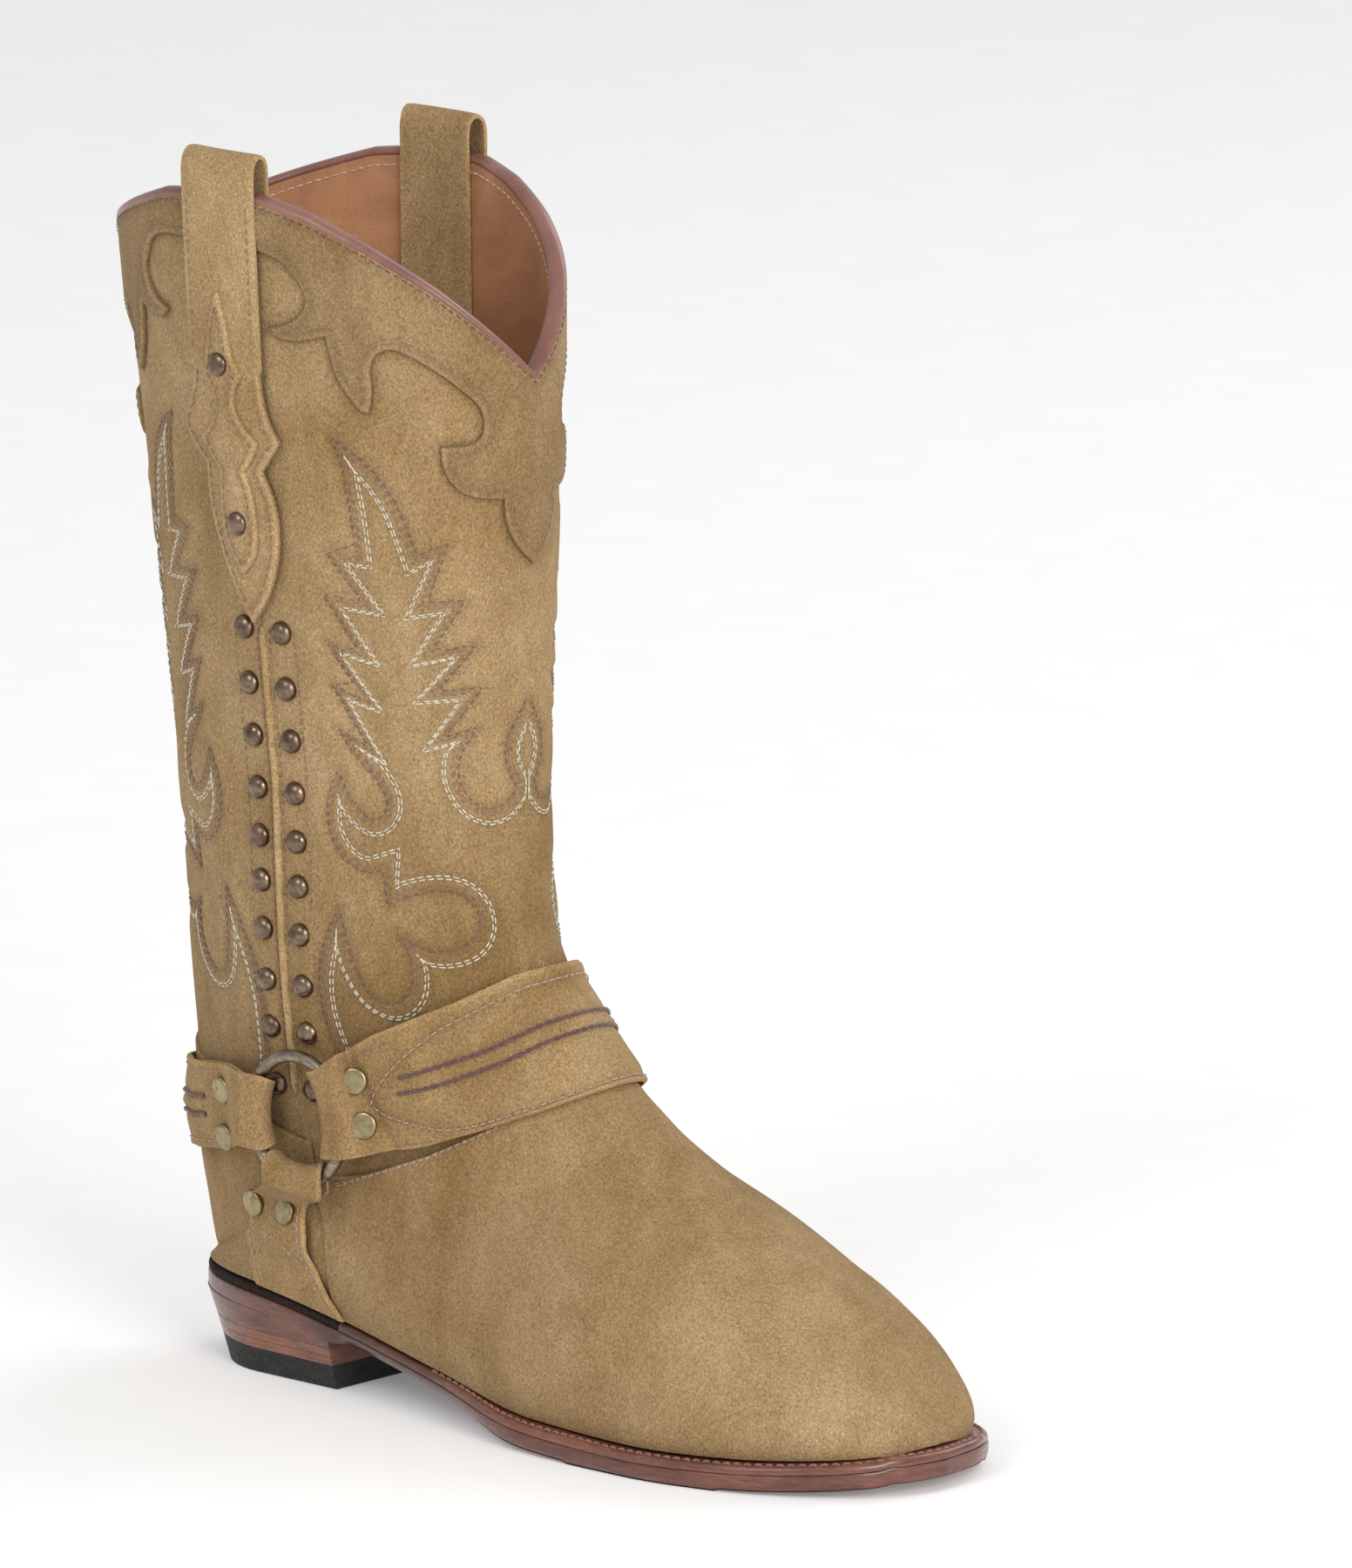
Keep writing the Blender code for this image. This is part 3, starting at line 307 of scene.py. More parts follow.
def flat_of(tables, t, u):
    """Arc (unsigned) and height of points given by station and share."""
    share = 1 - np.abs(u) if tables["back"] else np.abs(u)
    arc = bilinear(tables["arcs"], np.asarray(t) * 20, share * 160)
    return np.stack([arc, bare(t, -np.abs(u))[..., 2]], -1)


# ------------------------------------------------------------------ meshes
def made(name, points, faces, material, shade=None, body="boot", stands_for=(), slot=None):
    """An object from points in the last's millimetres, riding on its body."""
    mesh = bpy.data.meshes.new(name)
    mesh.from_pydata(((np.asarray(points) - MIDDLE) * MM).tolist(), [], faces)
    mesh.polygons.foreach_set("use_smooth", np.ones(len(mesh.polygons), bool))
    shade = np.full(len(mesh.vertices), 0.5) if shade is None else np.ravel(shade)
    layer = mesh.attributes.new("shade", "FLOAT", "POINT")
    layer.data.foreach_set("value", np.asarray(shade, np.float32))
    mesh.materials.append(material)
    mesh.update()
    mesh.set_sharp_from_angle(angle=SHARP)
    obj = bpy.data.objects.new(name, mesh)
    bpy.context.scene.collection.objects.link(obj)
    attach(obj, body)
    if stands_for:
        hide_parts(*stands_for)


def outward(points, faces):
    """The faces, turned over if they enclose a negative volume."""
    p = np.asarray(points)
    tris = [(f[0], f[i], f[i + 1]) for f in faces for i in range(1, len(f) - 1)]
    a, b, c = (p[[t[i] for t in tris]] for i in range(3))
    if np.sum(a * np.cross(b, c)) < 0:
        return [f[::-1] for f in faces]
    return faces


def shell_faces(ni, nj):
    """Faces of a closed sheet with an outer and an inner grid of ni by nj points."""
    i, j = np.meshgrid(np.arange(ni - 1), np.arange(nj - 1), indexing="ij")
    n = ni * nj
    a = i * nj + j
    outer = np.stack([a, a + nj, a + nj + 1, a + 1], -1).reshape(-1, 4)
    inner = np.stack([a, a + 1, a + nj + 1, a + nj], -1).reshape(-1, 4) + n
    faces = outer.tolist() + inner.tolist()
    # the four rims: first point, step along the rim, how many faces, whether they turn over
    for first, step, count, over in (
        (0, 1, nj - 1, False), (n - nj, 1, nj - 1, True), (0, nj, ni - 1, True), (nj - 1, nj, ni - 1, False)
    ):
        for p in range(first, first + step * count, step):
            face = [p, p + step, p + step + n, p + n]
            faces.append(face[::-1] if over else face)
    return faces


def shell(name, outer, inner, material, shade=None, **more):
    """A closed sheet between an outer and an inner grid of points."""
    points = np.concatenate([outer.reshape(-1, 3), inner.reshape(-1, 3)])
    if shade is not None:
        shade = np.tile(np.ravel(shade), 2)
    made(name, points, outward(points, shell_faces(*outer.shape[:2])), material, shade, **more)


def tube_faces(ni, nj, closed, start=0):
    """Faces round ni loops of nj points, with two caps at the end of the list unless the tube is closed."""
    i, j = np.meshgrid(np.arange(ni if closed else ni - 1), np.arange(nj), indexing="ij")
    k = (j + 1) % nj
    m = (i + 1) % ni
    quads = np.stack([i * nj + j, i * nj + k, m * nj + k, m * nj + j], -1).reshape(-1, 4) + start
    caps = [] if closed else [range(start, start + nj)[::-1], range(start + (ni - 1) * nj, start + ni * nj)]
    return quads.tolist() + [list(cap) for cap in caps]


def swept(name, loops, material, closed, shade=None, **more):
    """A solid through equal loops of points."""
    loops = np.asarray(loops, float)
    points = loops.reshape(-1, 3)
    faces = tube_faces(*loops.shape[:2], closed)
    made(name, points, outward(points, faces), material, shade, **more)


def spokes(across, up, sides):
    """Directions round each point of a path."""
    angle = np.arange(sides) * 2 * math.pi / sides
    return across[:, None] * np.cos(angle)[:, None] + up[:, None] * np.sin(angle)[:, None]


# ------------------------------------------------------------------ flat drawing
def catmull(p, pieces):
    """A smooth curve through the points."""
    padded = np.concatenate([[2 * p[0] - p[1]], p, [2 * p[-1] - p[-2]]])
    out = []
    for i in range(1, len(padded) - 2):
        a, b, c, d = padded[i - 1:i + 3]
        for k in np.arange(pieces) / pieces:
            out.append(
                0.5 * ((2 * b) + (c - a) * k + (2 * a - 5 * b + 4 * c - d) * k**2
                       + (3 * b - a - 3 * c + d) * k**3)
            )
    out.append(p[-1])
    return np.array(out)


def smoothed(run, pieces=8):
    """A run of points as a smooth curve, or as it is when it is a straight line."""
    p = np.asarray(run, float)
    return catmull(p, pieces) if len(p) > 2 else p


def lengths(p):
    return np.concatenate([[0], np.cumsum(np.linalg.norm(np.diff(p, axis=0), axis=1))])


def sampled(where, s, values):
    """Each column of values at the lengths where, from what it is at the lengths s."""
    return np.stack([np.interp(where, s, column) for column in values.T], -1)


def resample(p, step):
    s = lengths(p)
    n = max(int(round(s[-1] / step)), 1)
    return sampled(np.linspace(0, s[-1], n + 1), s, p)


def joined(polylines, step):
    parts = [resample(p, step) for p in polylines]
    return np.concatenate(parts[:1] + [p[1:] for p in parts[1:]])


def curve(runs, step):
    """A polyline through runs of points, smooth inside each run, with a corner between runs."""
    return joined([smoothed(run) for run in runs], step)


def outline_of(runs):
    return joined([smoothed(run, 4) for run in runs], 1.0)


def to_lines(points, line):
    """Distance from each flat point to the polyline."""
    a = line[:-1]
    ab = line[1:] - a
    size = np.maximum(np.sum(ab * ab, -1), 1e-9)
    out = np.full(len(points), 1e9)
    for i in range(0, len(points), BATCH):
        p = points[i:i + BATCH, None]
        k = np.clip(np.sum((p - a) * ab, -1) / size, 0, 1)
        out[i:i + BATCH] = np.linalg.norm(p - (a + ab * k[..., None]), axis=-1).min(axis=1)
    return out


def inside(points, ring):
    """True where flat points lie inside the closed ring."""
    x, y = points[:, 0][:, None], points[:, 1][:, None]
    ax, ay = ring.T
    bx, by = np.roll(ax, -1), np.roll(ay, -1)
    out = np.zeros(len(points), bool)
    for i in range(0, len(points), BATCH):
        s = slice(i, i + BATCH)
        cross = (ay > y[s]) != (by > y[s])
        where = (bx - ax) * (y[s] - ay) / np.where(by == ay, 1e-9, by - ay) + ax
        out[s] = np.sum(cross & (x[s] < where), axis=1) % 2 == 1
    return out


def miter(a, b, most=1.75):
    m = unit(a + b)
    return m * min(1 / max(float(m @ a), 1e-3), most)


def offset(runs, distance):
    """The runs moved to their right by distance, spikes kept sharp but not drawn out."""
    lines = [smoothed(run, 4) for run in runs]
    sides = []
    for p in lines:
        step = unit(np.diff(p, axis=0))
        sides.append(np.stack([step[:, 1], -step[:, 0]], -1))
    moved = []
    for r, (p, side) in enumerate(zip(lines, sides)):
        first = miter(sides[r - 1][-1], side[0]) if r > 0 else side[0]
        last = miter(side[-1], sides[r + 1][0]) if r + 1 < len(sides) else side[-1]
        mids = [miter(a, b) for a, b in zip(side[:-1], side[1:])]
        moved.append(p + np.array([first] + mids + [last]) * distance)
    return moved


def clear_of(part, outline, least):
    """A moved run without its inner points that lie too near the outline; its two ends stay."""
    good = to_lines(part, outline) > least
    good[[0, -1]] = True
    return part[good]


# ------------------------------------------------------------------ stitches
# one stitch: share of its length, height and thickness of each ring
STITCH = ((0.0, -0.25, 0.55), (0.16, 0.55, 0.95), (0.5, 1.0, 1.0), (0.84, 0.55, 0.95), (1.0, -0.25, 0.55))
STITCH_SIDES = 6


def stitches(lines, length, gap, radius, lift):
    """Points and faces of sewn stitches along lines of (points, normals)."""
    points = []
    for path, normals in lines:
        s = lengths(path)
        count = int(s[-1] // (length + gap))
        if count < 1:
            continue
        pitch = s[-1] / count
        start = np.arange(count) * pitch + gap / 2
        way = unit(sampled(start + pitch - gap, s, path) - sampled(start, s, path))
        loops = []
        for k, h, r in STITCH:
            where = start + (pitch - gap) * k
            n = unit(sampled(where, s, normals))
            ring = spokes(unit(np.cross(way, n)), n * 0.8, STITCH_SIDES)
            loops.append((sampled(where, s, path) + n * lift * h)[:, None] + ring * radius * r)
        points.append(np.stack(loops, 1).reshape(-1, 3))
    points = np.concatenate(points)
    each = len(STITCH) * STITCH_SIDES
    starts = (np.arange(len(points) // each) * each)[:, None, None]
    one = tube_faces(len(STITCH), STITCH_SIDES, False)
    quads = (np.array(one[:-2])[None] + starts).reshape(-1, 4)
    caps = (np.array(one[-2:])[None] + starts).reshape(-1, STITCH_SIDES)
    return points, quads.tolist() + caps.tolist()


def sew(name, lines, material, length, radius, gap=0.8, lift=0.14, body="boot"):
    points, faces = stitches(lines, length, gap, radius, lift)
    made(name, points, faces, material, body=body)


def laid(tables, flat, depth, relief=None):
    """3-D points and normals of a flat line on the shaft."""
    if relief is not None:
        depth = depth + relief(np.abs(flat))
    return line_at(*on_shaft(tables, flat), depth)


# ------------------------------------------------------------------ cut patches of leather
def opened(ring):
    return ring[:-1] if np.allclose(ring[0], ring[-1]) else ring


def inward_of(ring):
    """Directions into a closed ring of flat points."""
    way = unit(unit(np.roll(ring, -1, axis=0) - ring) + unit(ring - np.roll(ring, 1, axis=0)))
    x, y = ring.T
    area = np.sum(x * np.roll(y, -1) - np.roll(x, -1) * y)
    return np.stack([-way[:, 1], way[:, 0]], -1) * np.sign(area)


def edge_line(ring, inset, share=0.93):
    """A flat line inset from the ring; points that fold over at its corners are dropped."""
    ring = opened(ring)
    moved = ring + inward_of(ring) * inset
    closed = np.concatenate([ring, ring[:1]])
    return moved[inside(moved, ring) & (to_lines(moved, closed) > inset * share)]


def cut_patch(name, ring, surface, base, thick, material, spacing, crown=0.0, **more):
    """A closed piece of leather with a drawn outline; surface(flat, depth) lays it on the boot."""
    ring = opened(ring)
    n = len(ring)
    closed = np.concatenate([ring, ring[:1]])
    lo, hi = ring.min(0), ring.max(0)
    gx = np.arange(lo[0] + spacing / 2, hi[0], spacing)
    gy = np.arange(lo[1] + spacing / 2, hi[1], spacing * 0.87)
    grid = np.stack(np.meshgrid(gx, gy, indexing="ij"), -1)
    grid[:, ::2, 0] += spacing / 2
    grid = grid.reshape(-1, 2)
    grid = grid[inside(grid, ring)]
    grid = grid[to_lines(grid, closed) > 1.35]
    flat = np.concatenate([ring] + [edge_line(ring, inset, 0.85) for inset in (0.3, 0.8)] + [grid])
    edges = [(i, (i + 1) % n) for i in range(n)]
    verts, _, faces, *_ = geometry.delaunay_2d_cdt([Vector(p) for p in flat.tolist()], edges, [], 1, 1e-5)
    flat = np.array([tuple(v) for v in verts])
    gone = to_lines(flat, closed)
    round_off = np.sqrt(np.clip(1 - (1 - np.clip(gone / 0.9, 0, 1)) ** 2, 0, 1))
    top = base + thick * (0.55 + 0.45 * round_off) + crown * smooth(gone / 5.0)
    # painted highlight along the raised edge, painted shade along the stitch line about 2.4 mm in, and a
    # painted shadow line at the very edge
    shade = 0.5 + 0.2 * bell(gone - 0.35, 0.5) - 0.16 * bell(gone - 2.4, 0.9) - 0.25 * bell(gone, 0.2)
    points = np.concatenate([surface(flat, top), surface(flat, base)])
    count = len(flat)
    used = {(f[i], f[(i + 1) % 3]): True for f in faces for i in range(3)}
    all_faces = [tuple(f) for f in faces] + [tuple(v + count for v in reversed(f)) for f in faces]
    all_faces += [(b, a, a + count, b + count) for a, b in used if (b, a) not in used]
    # the underside and side walls take the shade at 0.3 times: painted shade under the patch's edge
    made(name, points, outward(points, all_faces), material, np.concatenate([shade, shade * 0.3]), **more)


# ------------------------------------------------------------------ materials
class Finish:
    """A procedural material under construction."""

    def __init__(self, name, rough=0.5, metallic=0.0, **fixed):
        self.mat = bpy.data.materials.new(name)
        self.mat.use_nodes = True
        self.tree = self.mat.node_tree
        self.shader = self.tree.nodes["Principled BSDF"]
        for key, value in {"roughness": rough, "metallic": metallic, **fixed}.items():
            self.shader.inputs[key.replace("_", " ").title().replace("Ior", "IOR")].default_value = value
        self.place = self.tree.nodes.new("ShaderNodeTexCoord").outputs["Object"]

    def put(self, socket, value):
        if isinstance(value, bpy.types.NodeSocket):
            self.tree.links.new(value, socket)
        else:
            socket.default_value = value

    def add(self, kind, inputs, output, **settings):
        """One output of a new node with these settings and inputs."""
        node = self.tree.nodes.new("ShaderNode" + kind)
        for key, value in settings.items():
            setattr(node, key, value)
        for key, value in inputs.items():
            self.put(node.inputs[key], value)
        return node.outputs[output]

    def stretched(self, sx, sy, sz):
        return self.add("Mapping", {"Vector": self.place, "Scale": (sx, sy, sz)}, "Vector")

    def noise(self, scale, detail=2.0, rough=0.5, warp=0.0, where=None):
        inputs = {
            "Vector": where or self.place, "Scale": scale, "Detail": detail, "Roughness": rough,
            "Distortion": warp,
        }
        return self.add("TexNoise", inputs, "Fac")

    def painted_shade_and_tone(self, low, high):
        """The mesh's shade attribute, spread from low to high: painted shade and painted highlights on the
        suede, and darker tone in places.
        """
        return self.span(self.add("Attribute", {}, "Fac", attribute_name="shade"), 0.0, 1.0, low, high)

    def height(self):
        return self.add("SeparateXYZ", {0: self.place}, "Z")

    def span(self, value, low, high, to_low, to_high):
        inputs = {"Value": value, "From Min": low, "From Max": high, "To Min": to_low, "To Max": to_high}
        return self.add("MapRange", inputs, "Result")

    def sum(self, a, b):
        return self.add("Math", {0: a, 1: b}, 0, operation="ADD")

    def times(self, a, b):
        return self.add("Math", {0: a, 1: b}, 0, operation="MULTIPLY")

    def ramp(self, value, stops):
        node = self.tree.nodes.new("ShaderNodeValToRGB")
        self.put(node.inputs["Fac"], value)
        marks = node.color_ramp.elements
        while len(marks) < len(stops):
            marks.new(0.5)
        for mark, (where, colour) in zip(marks, stops):
            mark.position = where
            mark.color = (*colour, 1)
        return node.outputs["Color"]

    def tint(self, colour, value):
        """The colour multiplied by a value."""
        return self.add("VectorMath", {0: colour, "Scale": value}, "Vector", operation="SCALE")

    def bump(self, height, distance, strength):
        inputs = {"Height": height, "Distance": distance, "Strength": strength}
        self.put(self.shader.inputs["Normal"], self.add("Bump", inputs, "Normal"))

    def colour(self, value):
        self.put(self.shader.inputs["Base Color"], value)

    def rough(self, value):
        self.put(self.shader.inputs["Roughness"], value)


def suede(name, dark, mid, light, seed=0.0):
    """Brushed split leather: broad soft patches of nap and short fibres, with painted shade along seams and
    painted highlights on raised edges.
    """
    f = Finish(name, rough=0.95, specular_ior_level=0.08, sheen_weight=0.1, sheen_roughness=0.5,
               sheen_tint=(0.9, 0.78, 0.6, 1))
    patches = f.noise(10 + seed, 3.0, 0.5, 0.7)
    nap = f.noise(75 + seed, 3.0, 0.6, 0.4, f.stretched(1.0, 1.0, 0.5))
    grain = f.noise(1250, 3.0, 0.7, 0.3)
    fibre = f.noise(2300, 2.0, 0.6, 0.5, f.stretched(1.0, 1.0, 0.6))
    base = f.ramp(f.sum(f.times(patches, 0.62), f.times(nap, 0.38)), [(0.36, dark), (0.5, mid), (0.64, light)])
    speck = f.times(f.span(grain, 0.32, 0.68, 0.7, 1.3), f.span(fibre, 0.3, 0.7, 0.72, 1.28))
    # the shade attribute multiplies in painted shade along seams and rows and painted highlights on raised
    # edges
    f.colour(f.tint(base, f.times(speck, f.painted_shade_and_tone(0.5, 1.5))))
    f.bump(f.sum(f.times(grain, 0.8), fibre), 0.0003, 0.9)
    return f.mat


def smooth_leather(name, dark, light, rough, coat=0.0, pore=900, depth=0.00008):
    f = Finish(name, rough=rough, specular_ior_level=0.4, coat_weight=coat, coat_roughness=0.25)
    tone = f.noise(26, 4.0, 0.6, 1.0)
    fine = f.noise(pore)
    creases = f.noise(70, 3.0, 0.6, 2.0, f.stretched(0.5, 0.5, 1.6))
    f.colour(f.tint(f.ramp(tone, [(0.34, dark), (0.66, light)]), f.span(fine, 0.3, 0.7, 0.93, 1.06)))
    f.rough(f.span(tone, 0.3, 0.7, rough + 0.06, rough - 0.05))
    f.bump(f.sum(f.times(creases, 2.0), fine), depth, 0.7)
    return f.mat


def metal(name, dark, light, rough):
    """Tarnished metal with fine scratches."""
    f = Finish(name, rough=rough, metallic=1.0)
    tarnish = f.noise(260, 4.0, 0.65, 0.8)
    scratch = f.noise(900, where=f.stretched(1.0, 0.15, 0.6))
    f.colour(f.ramp(tarnish, [(0.36, dark), (0.62, light)]))
    f.rough(f.span(f.sum(tarnish, scratch), 0.7, 1.3, rough + 0.13, rough - 0.08))
    f.bump(scratch, 0.00004, 0.5)
    return f.mat


def sole_edge(name, dark, mid, light, bands=0.0):
    """Burnished leather edge: fibres run along it, and wax makes it shine."""
    f = Finish(name, rough=0.34, coat_weight=0.35, coat_roughness=0.18, specular_ior_level=0.5)
    along_edge = f.noise(60, 4.0, 0.65, 0.4, f.stretched(1.0, 1.0, 6.0))
    fine = f.noise(420, 3.0, 0.6, 0.0, f.stretched(0.6, 0.6, 4.0))
    tone = f.sum(f.times(along_edge, 0.6), f.times(fine, 0.4))
    if bands:
        tone = f.sum(tone, f.span(f.height(), 0.006, 0.026, bands, -bands * 0.6))
    f.colour(f.tint(f.ramp(tone, [(0.34, dark), (0.5, mid), (0.68, light)]), f.painted_shade_and_tone(0.25, 1.75)))
    f.rough(f.span(fine, 0.3, 0.7, 0.42, 0.27))
    f.bump(f.sum(fine, along_edge), 0.00012, 0.6)
    return f.mat


def plain(name, dark, light, scale, detail=2.0, grain=0.5, top=0.65, bump=(0.0003, 0.6), roughs=None, **fixed):
    """One noise for colour, bump and, where roughs is given, roughness: thread, board, rubber, paper."""
    f = Finish(name, **fixed)
    fleck = f.noise(scale, detail, grain)
    f.colour(f.ramp(fleck, [(0.35, dark), (top, light)]))
    if roughs:
        f.rough(f.span(fleck, 0.3, 0.7, *roughs))
    f.bump(fleck, *bump)
    return f.mat


def thread(name, dark, light):
    return plain("thread_" + name, dark, light, 1500, bump=(0.00012, 0.8), rough=0.75, sheen_weight=0.3,
                 specular_ior_level=0.25)


def board(name, dark, light, scale):
    return plain(name, dark, light, scale, 4.0, 0.7, rough=0.9, specular_ior_level=0.2)


SUEDE = suede("suede_tan", (0.235, 0.144, 0.058), (0.31, 0.203, 0.097), (0.38, 0.263, 0.138))
SUEDE_STRAP = suede("suede_strap", (0.265, 0.165, 0.07), (0.34, 0.225, 0.108), (0.42, 0.29, 0.155), 2.0)
SUEDE_COLLAR = suede("suede_collar", (0.18, 0.109, 0.044), (0.25, 0.161, 0.076), (0.315, 0.214, 0.11), 1.0)
PIPING = smooth_leather("piping_leather", (0.165, 0.068, 0.05), (0.265, 0.122, 0.094), 0.34, 0.3, 1500, 0.00006)
LINING = smooth_leather("lining_leather", (0.32, 0.142, 0.068), (0.465, 0.228, 0.115), 0.5, 0.0, 1100, 0.00012)
INSOCK = smooth_leather("insock_leather", (0.3, 0.14, 0.06), (0.42, 0.21, 0.1), 0.55)
INSOLE = smooth_leather("insole_leather", (0.4, 0.26, 0.14), (0.56, 0.4, 0.25), 0.75)
BRONZE = metal("stud_bronze", (0.1, 0.066, 0.048), (0.26, 0.185, 0.13), 0.3)
BRASS = metal("rivet_brass", (0.22, 0.17, 0.085), (0.4, 0.33, 0.19), 0.34)
NICKEL = metal("ring_nickel", (0.17, 0.14, 0.1), (0.36, 0.31, 0.24), 0.36)
STEEL = metal("shank_steel", (0.35, 0.35, 0.36), (0.55, 0.55, 0.57), 0.38)
THREAD_DARK = thread("plum", (0.075, 0.032, 0.034), (0.16, 0.075, 0.07))
THREAD_MAUVE = thread("mauve", (0.11, 0.052, 0.05), (0.22, 0.115, 0.105))
THREAD_TAN = thread("tan", (0.17, 0.1, 0.06), (0.31, 0.195, 0.125))
THREAD_WHITE = thread("white", (0.42, 0.38, 0.3), (0.68, 0.63, 0.52))
THREAD_PINK = thread("pink", (0.28, 0.155, 0.12), (0.5, 0.33, 0.27))
THREAD_CREAM = thread("cream", (0.42, 0.29, 0.21), (0.62, 0.46, 0.36))
THREAD_WELT = thread("welt", (0.16, 0.06, 0.045), (0.33, 0.15, 0.11))
SOLE = sole_edge("sole_leather", (0.055, 0.017, 0.012), (0.12, 0.038, 0.025), (0.22, 0.078, 0.048))
WELT = sole_edge("welt_leather", (0.075, 0.024, 0.016), (0.16, 0.056, 0.034), (0.26, 0.1, 0.062))
STACK = sole_edge("heel_stack", (0.04, 0.014, 0.012), (0.105, 0.036, 0.024), (0.23, 0.085, 0.04), 0.16)
RAND = board("heel_rand", (0.01, 0.007, 0.006), (0.034, 0.022, 0.018), 700)
FIBREBOARD = board("fibreboard", (0.22, 0.14, 0.08), (0.38, 0.27, 0.17), 300)
CORK = board("cork", (0.2, 0.11, 0.05), (0.45, 0.3, 0.17), 420)
RUBBER = plain("heel_rubber", (0.012, 0.012, 0.012), (0.026, 0.025, 0.024), 700, 3.0, top=0.7,
               bump=(0.00012, 0.7), roughs=(0.7, 0.55), rough=0.62, specular_ior_level=0.35)


# ------------------------------------------------------------------ drawings on the shaft
# the collar's lower edge, as arc from the front line and height, from the side seam to the front line
COLLAR_EDGE = [
    [(118, 332), (100, 331), (88, 330.5), (82, 330), (75, 328), (70.5, 324), (67.3, 319), (68, 315),
     (71.5, 311.5), (76, 309.6), (80.5, 308.6)],
    [(80.5, 308.6), (76, 306), (69, 306), (61, 308)],
    [(61, 308), (59.5, 302), (57.5, 296.5), (54, 291.5), (50.5, 287.5), (48, 287)],
    [(48, 287), (47.2, 293), (47.6, 300), (45.5, 304.2), (41, 305.4), (35, 303), (28.5, 299), (22, 294),
     (17.5, 289.5), (16, 285), (16.7, 281), (20, 278.6), (28, 278)],
    [(28, 278), (27.4, 273), (25.5, 268.5), (22, 265), (17.5, 263.3), (10, 262.5)],
    [(10, 262.5), (9.4, 256), (6, 249), (0, 243)],
]
# the flame, from the middle leaf's tip round its lateral half
FLAME = [
    [(0, 205), (4, 199), (7, 193.5), (7.6, 188), (6.2, 183.5), (3.6, 179)],
    [(3.6, 179), (6, 176.2), (9, 174.2), (13, 173.8), (17, 175.8), (20, 179.6), (21.6, 184.5), (20.8, 190),
     (16, 197.5)],
    [(16, 197.5), (25.5, 194.8)],
    [(25.5, 194.8), (15, 209)],
    [(15, 209), (28, 207.8)],
    [(28, 207.8), (16.5, 221.5)],
    [(16.5, 221.5), (30, 219)],
    [(30, 219), (20.5, 234.2)],
    [(20.5, 234.2), (31.5, 233.2)],
    [(31.5, 233.2), (25.5, 250.5)],
    [(25.5, 250.5), (34.6, 246.8)],
    [(34.6, 246.8), (37, 253), (40, 260), (43.8, 266), (48.5, 271.2), (54, 275.4), (60.5, 279)],
    [(60.5, 279), (57.2, 271.5), (55.6, 264), (54, 256), (52.6, 246.5)],
    [(52.6, 246.5), (62, 246)],
    [(62, 246), (50, 232.5)],
    [(50, 232.5), (63, 234)],
    [(63, 234), (51, 218.5)],
    [(51, 218.5), (62.5, 221)],
    [(62.5, 221), (49.2, 205)],
    [(49.2, 205), (59.8, 208.6)],
    [(59.8, 208.6), (47.8, 191)],
    [(47.8, 191), (57.5, 195.6)],
    [(57.5, 195.6), (52, 188.5), (46.5, 183.2), (43.2, 178.8), (42, 174.6), (43.3, 171.2), (46.3, 170),
     (50, 172.2), (54, 177), (57, 183.4)],
    [(57, 183.4), (59.8, 177), (60.8, 170), (59.6, 164), (56.4, 158.6), (52, 155.4), (47.5, 154.6),
     (43, 156.2)],
    [(43, 156.2), (44, 145.2)],
    [(44, 145.2), (37.5, 148.2), (31, 150), (25, 150.2), (20.5, 148.4), (17.6, 144.4), (18, 139.6), (22, 135.6),
     (28.5, 133.4), (35, 133.8), (41.5, 137)],
    [(41.5, 137), (39.8, 132.5), (39.9, 127.5), (41.8, 122.6), (45.6, 118.8), (50.2, 117), (54.4, 118.8),
     (56.8, 125), (57.6, 133), (58.4, 144)],
    [(58.4, 144), (64, 135.5), (68.6, 127), (71.6, 118), (73.2, 108), (73.4, 96), (72.4, 86)],
]
# thread, radius and insets from the outline
FLAME_ROWS = {
    "plum": (THREAD_MAUVE, 0.18, [0.0]), "tan": (THREAD_TAN, 0.16, [1.0, 1.9]),
    "white": (THREAD_WHITE, 0.23, [3.7, 4.5]),
}
BACK_SCALE = {"flame": 0.97, "collar": 0.82}


def scaled(runs, k):
    return [[(a * k, z) for a, z in run] for run in runs]


def relief_of(k, collar_k):
    """Quilting of a panel: the rows pull the suede down and the wadding lifts it between them."""
    collar_line = outline_of(scaled(COLLAR_EDGE, collar_k))
    outline = outline_of(scaled(FLAME, k))
    closed = np.concatenate([outline, [(60, 70), (0, 70)]])

    def height(flat):
        p = flat.reshape(-1, 2)
        near = to_lines(p, outline)
        within = -0.34 * bell(near - 4.8, 1.1) + 0.55 * smooth((near - 6.0) / 4.5)
        h = -0.42 * bell(near - 0.3, 1.1) + np.where(inside(p, closed), within, 0.5 * bell(near - 3.6, 2.3))
        return h.reshape(flat.shape[:-1])

    # painted shade along the outline's stitch row and in the groove inside it, a painted highlight on the puff
    # outside, painted shade beside the collar's lower edge, and a darker tone towards the bottom of the panel
    def tone(flat):
        p = flat.reshape(-1, 2)
        near = to_lines(p, outline)
        t = 0.5 - 0.12 * bell(near, 1.3)
        t = t + np.where(inside(p, closed), -0.1 * bell(near - 4.8, 1.6), 0.05 * bell(near - 4.0, 2.0))
        t = t - 0.3 * bell(to_lines(p, collar_line), 1.5) - 0.09 * smooth((175 - p[:, 1]) / 60)
        return t.reshape(flat.shape[:-1])

    return height, tone


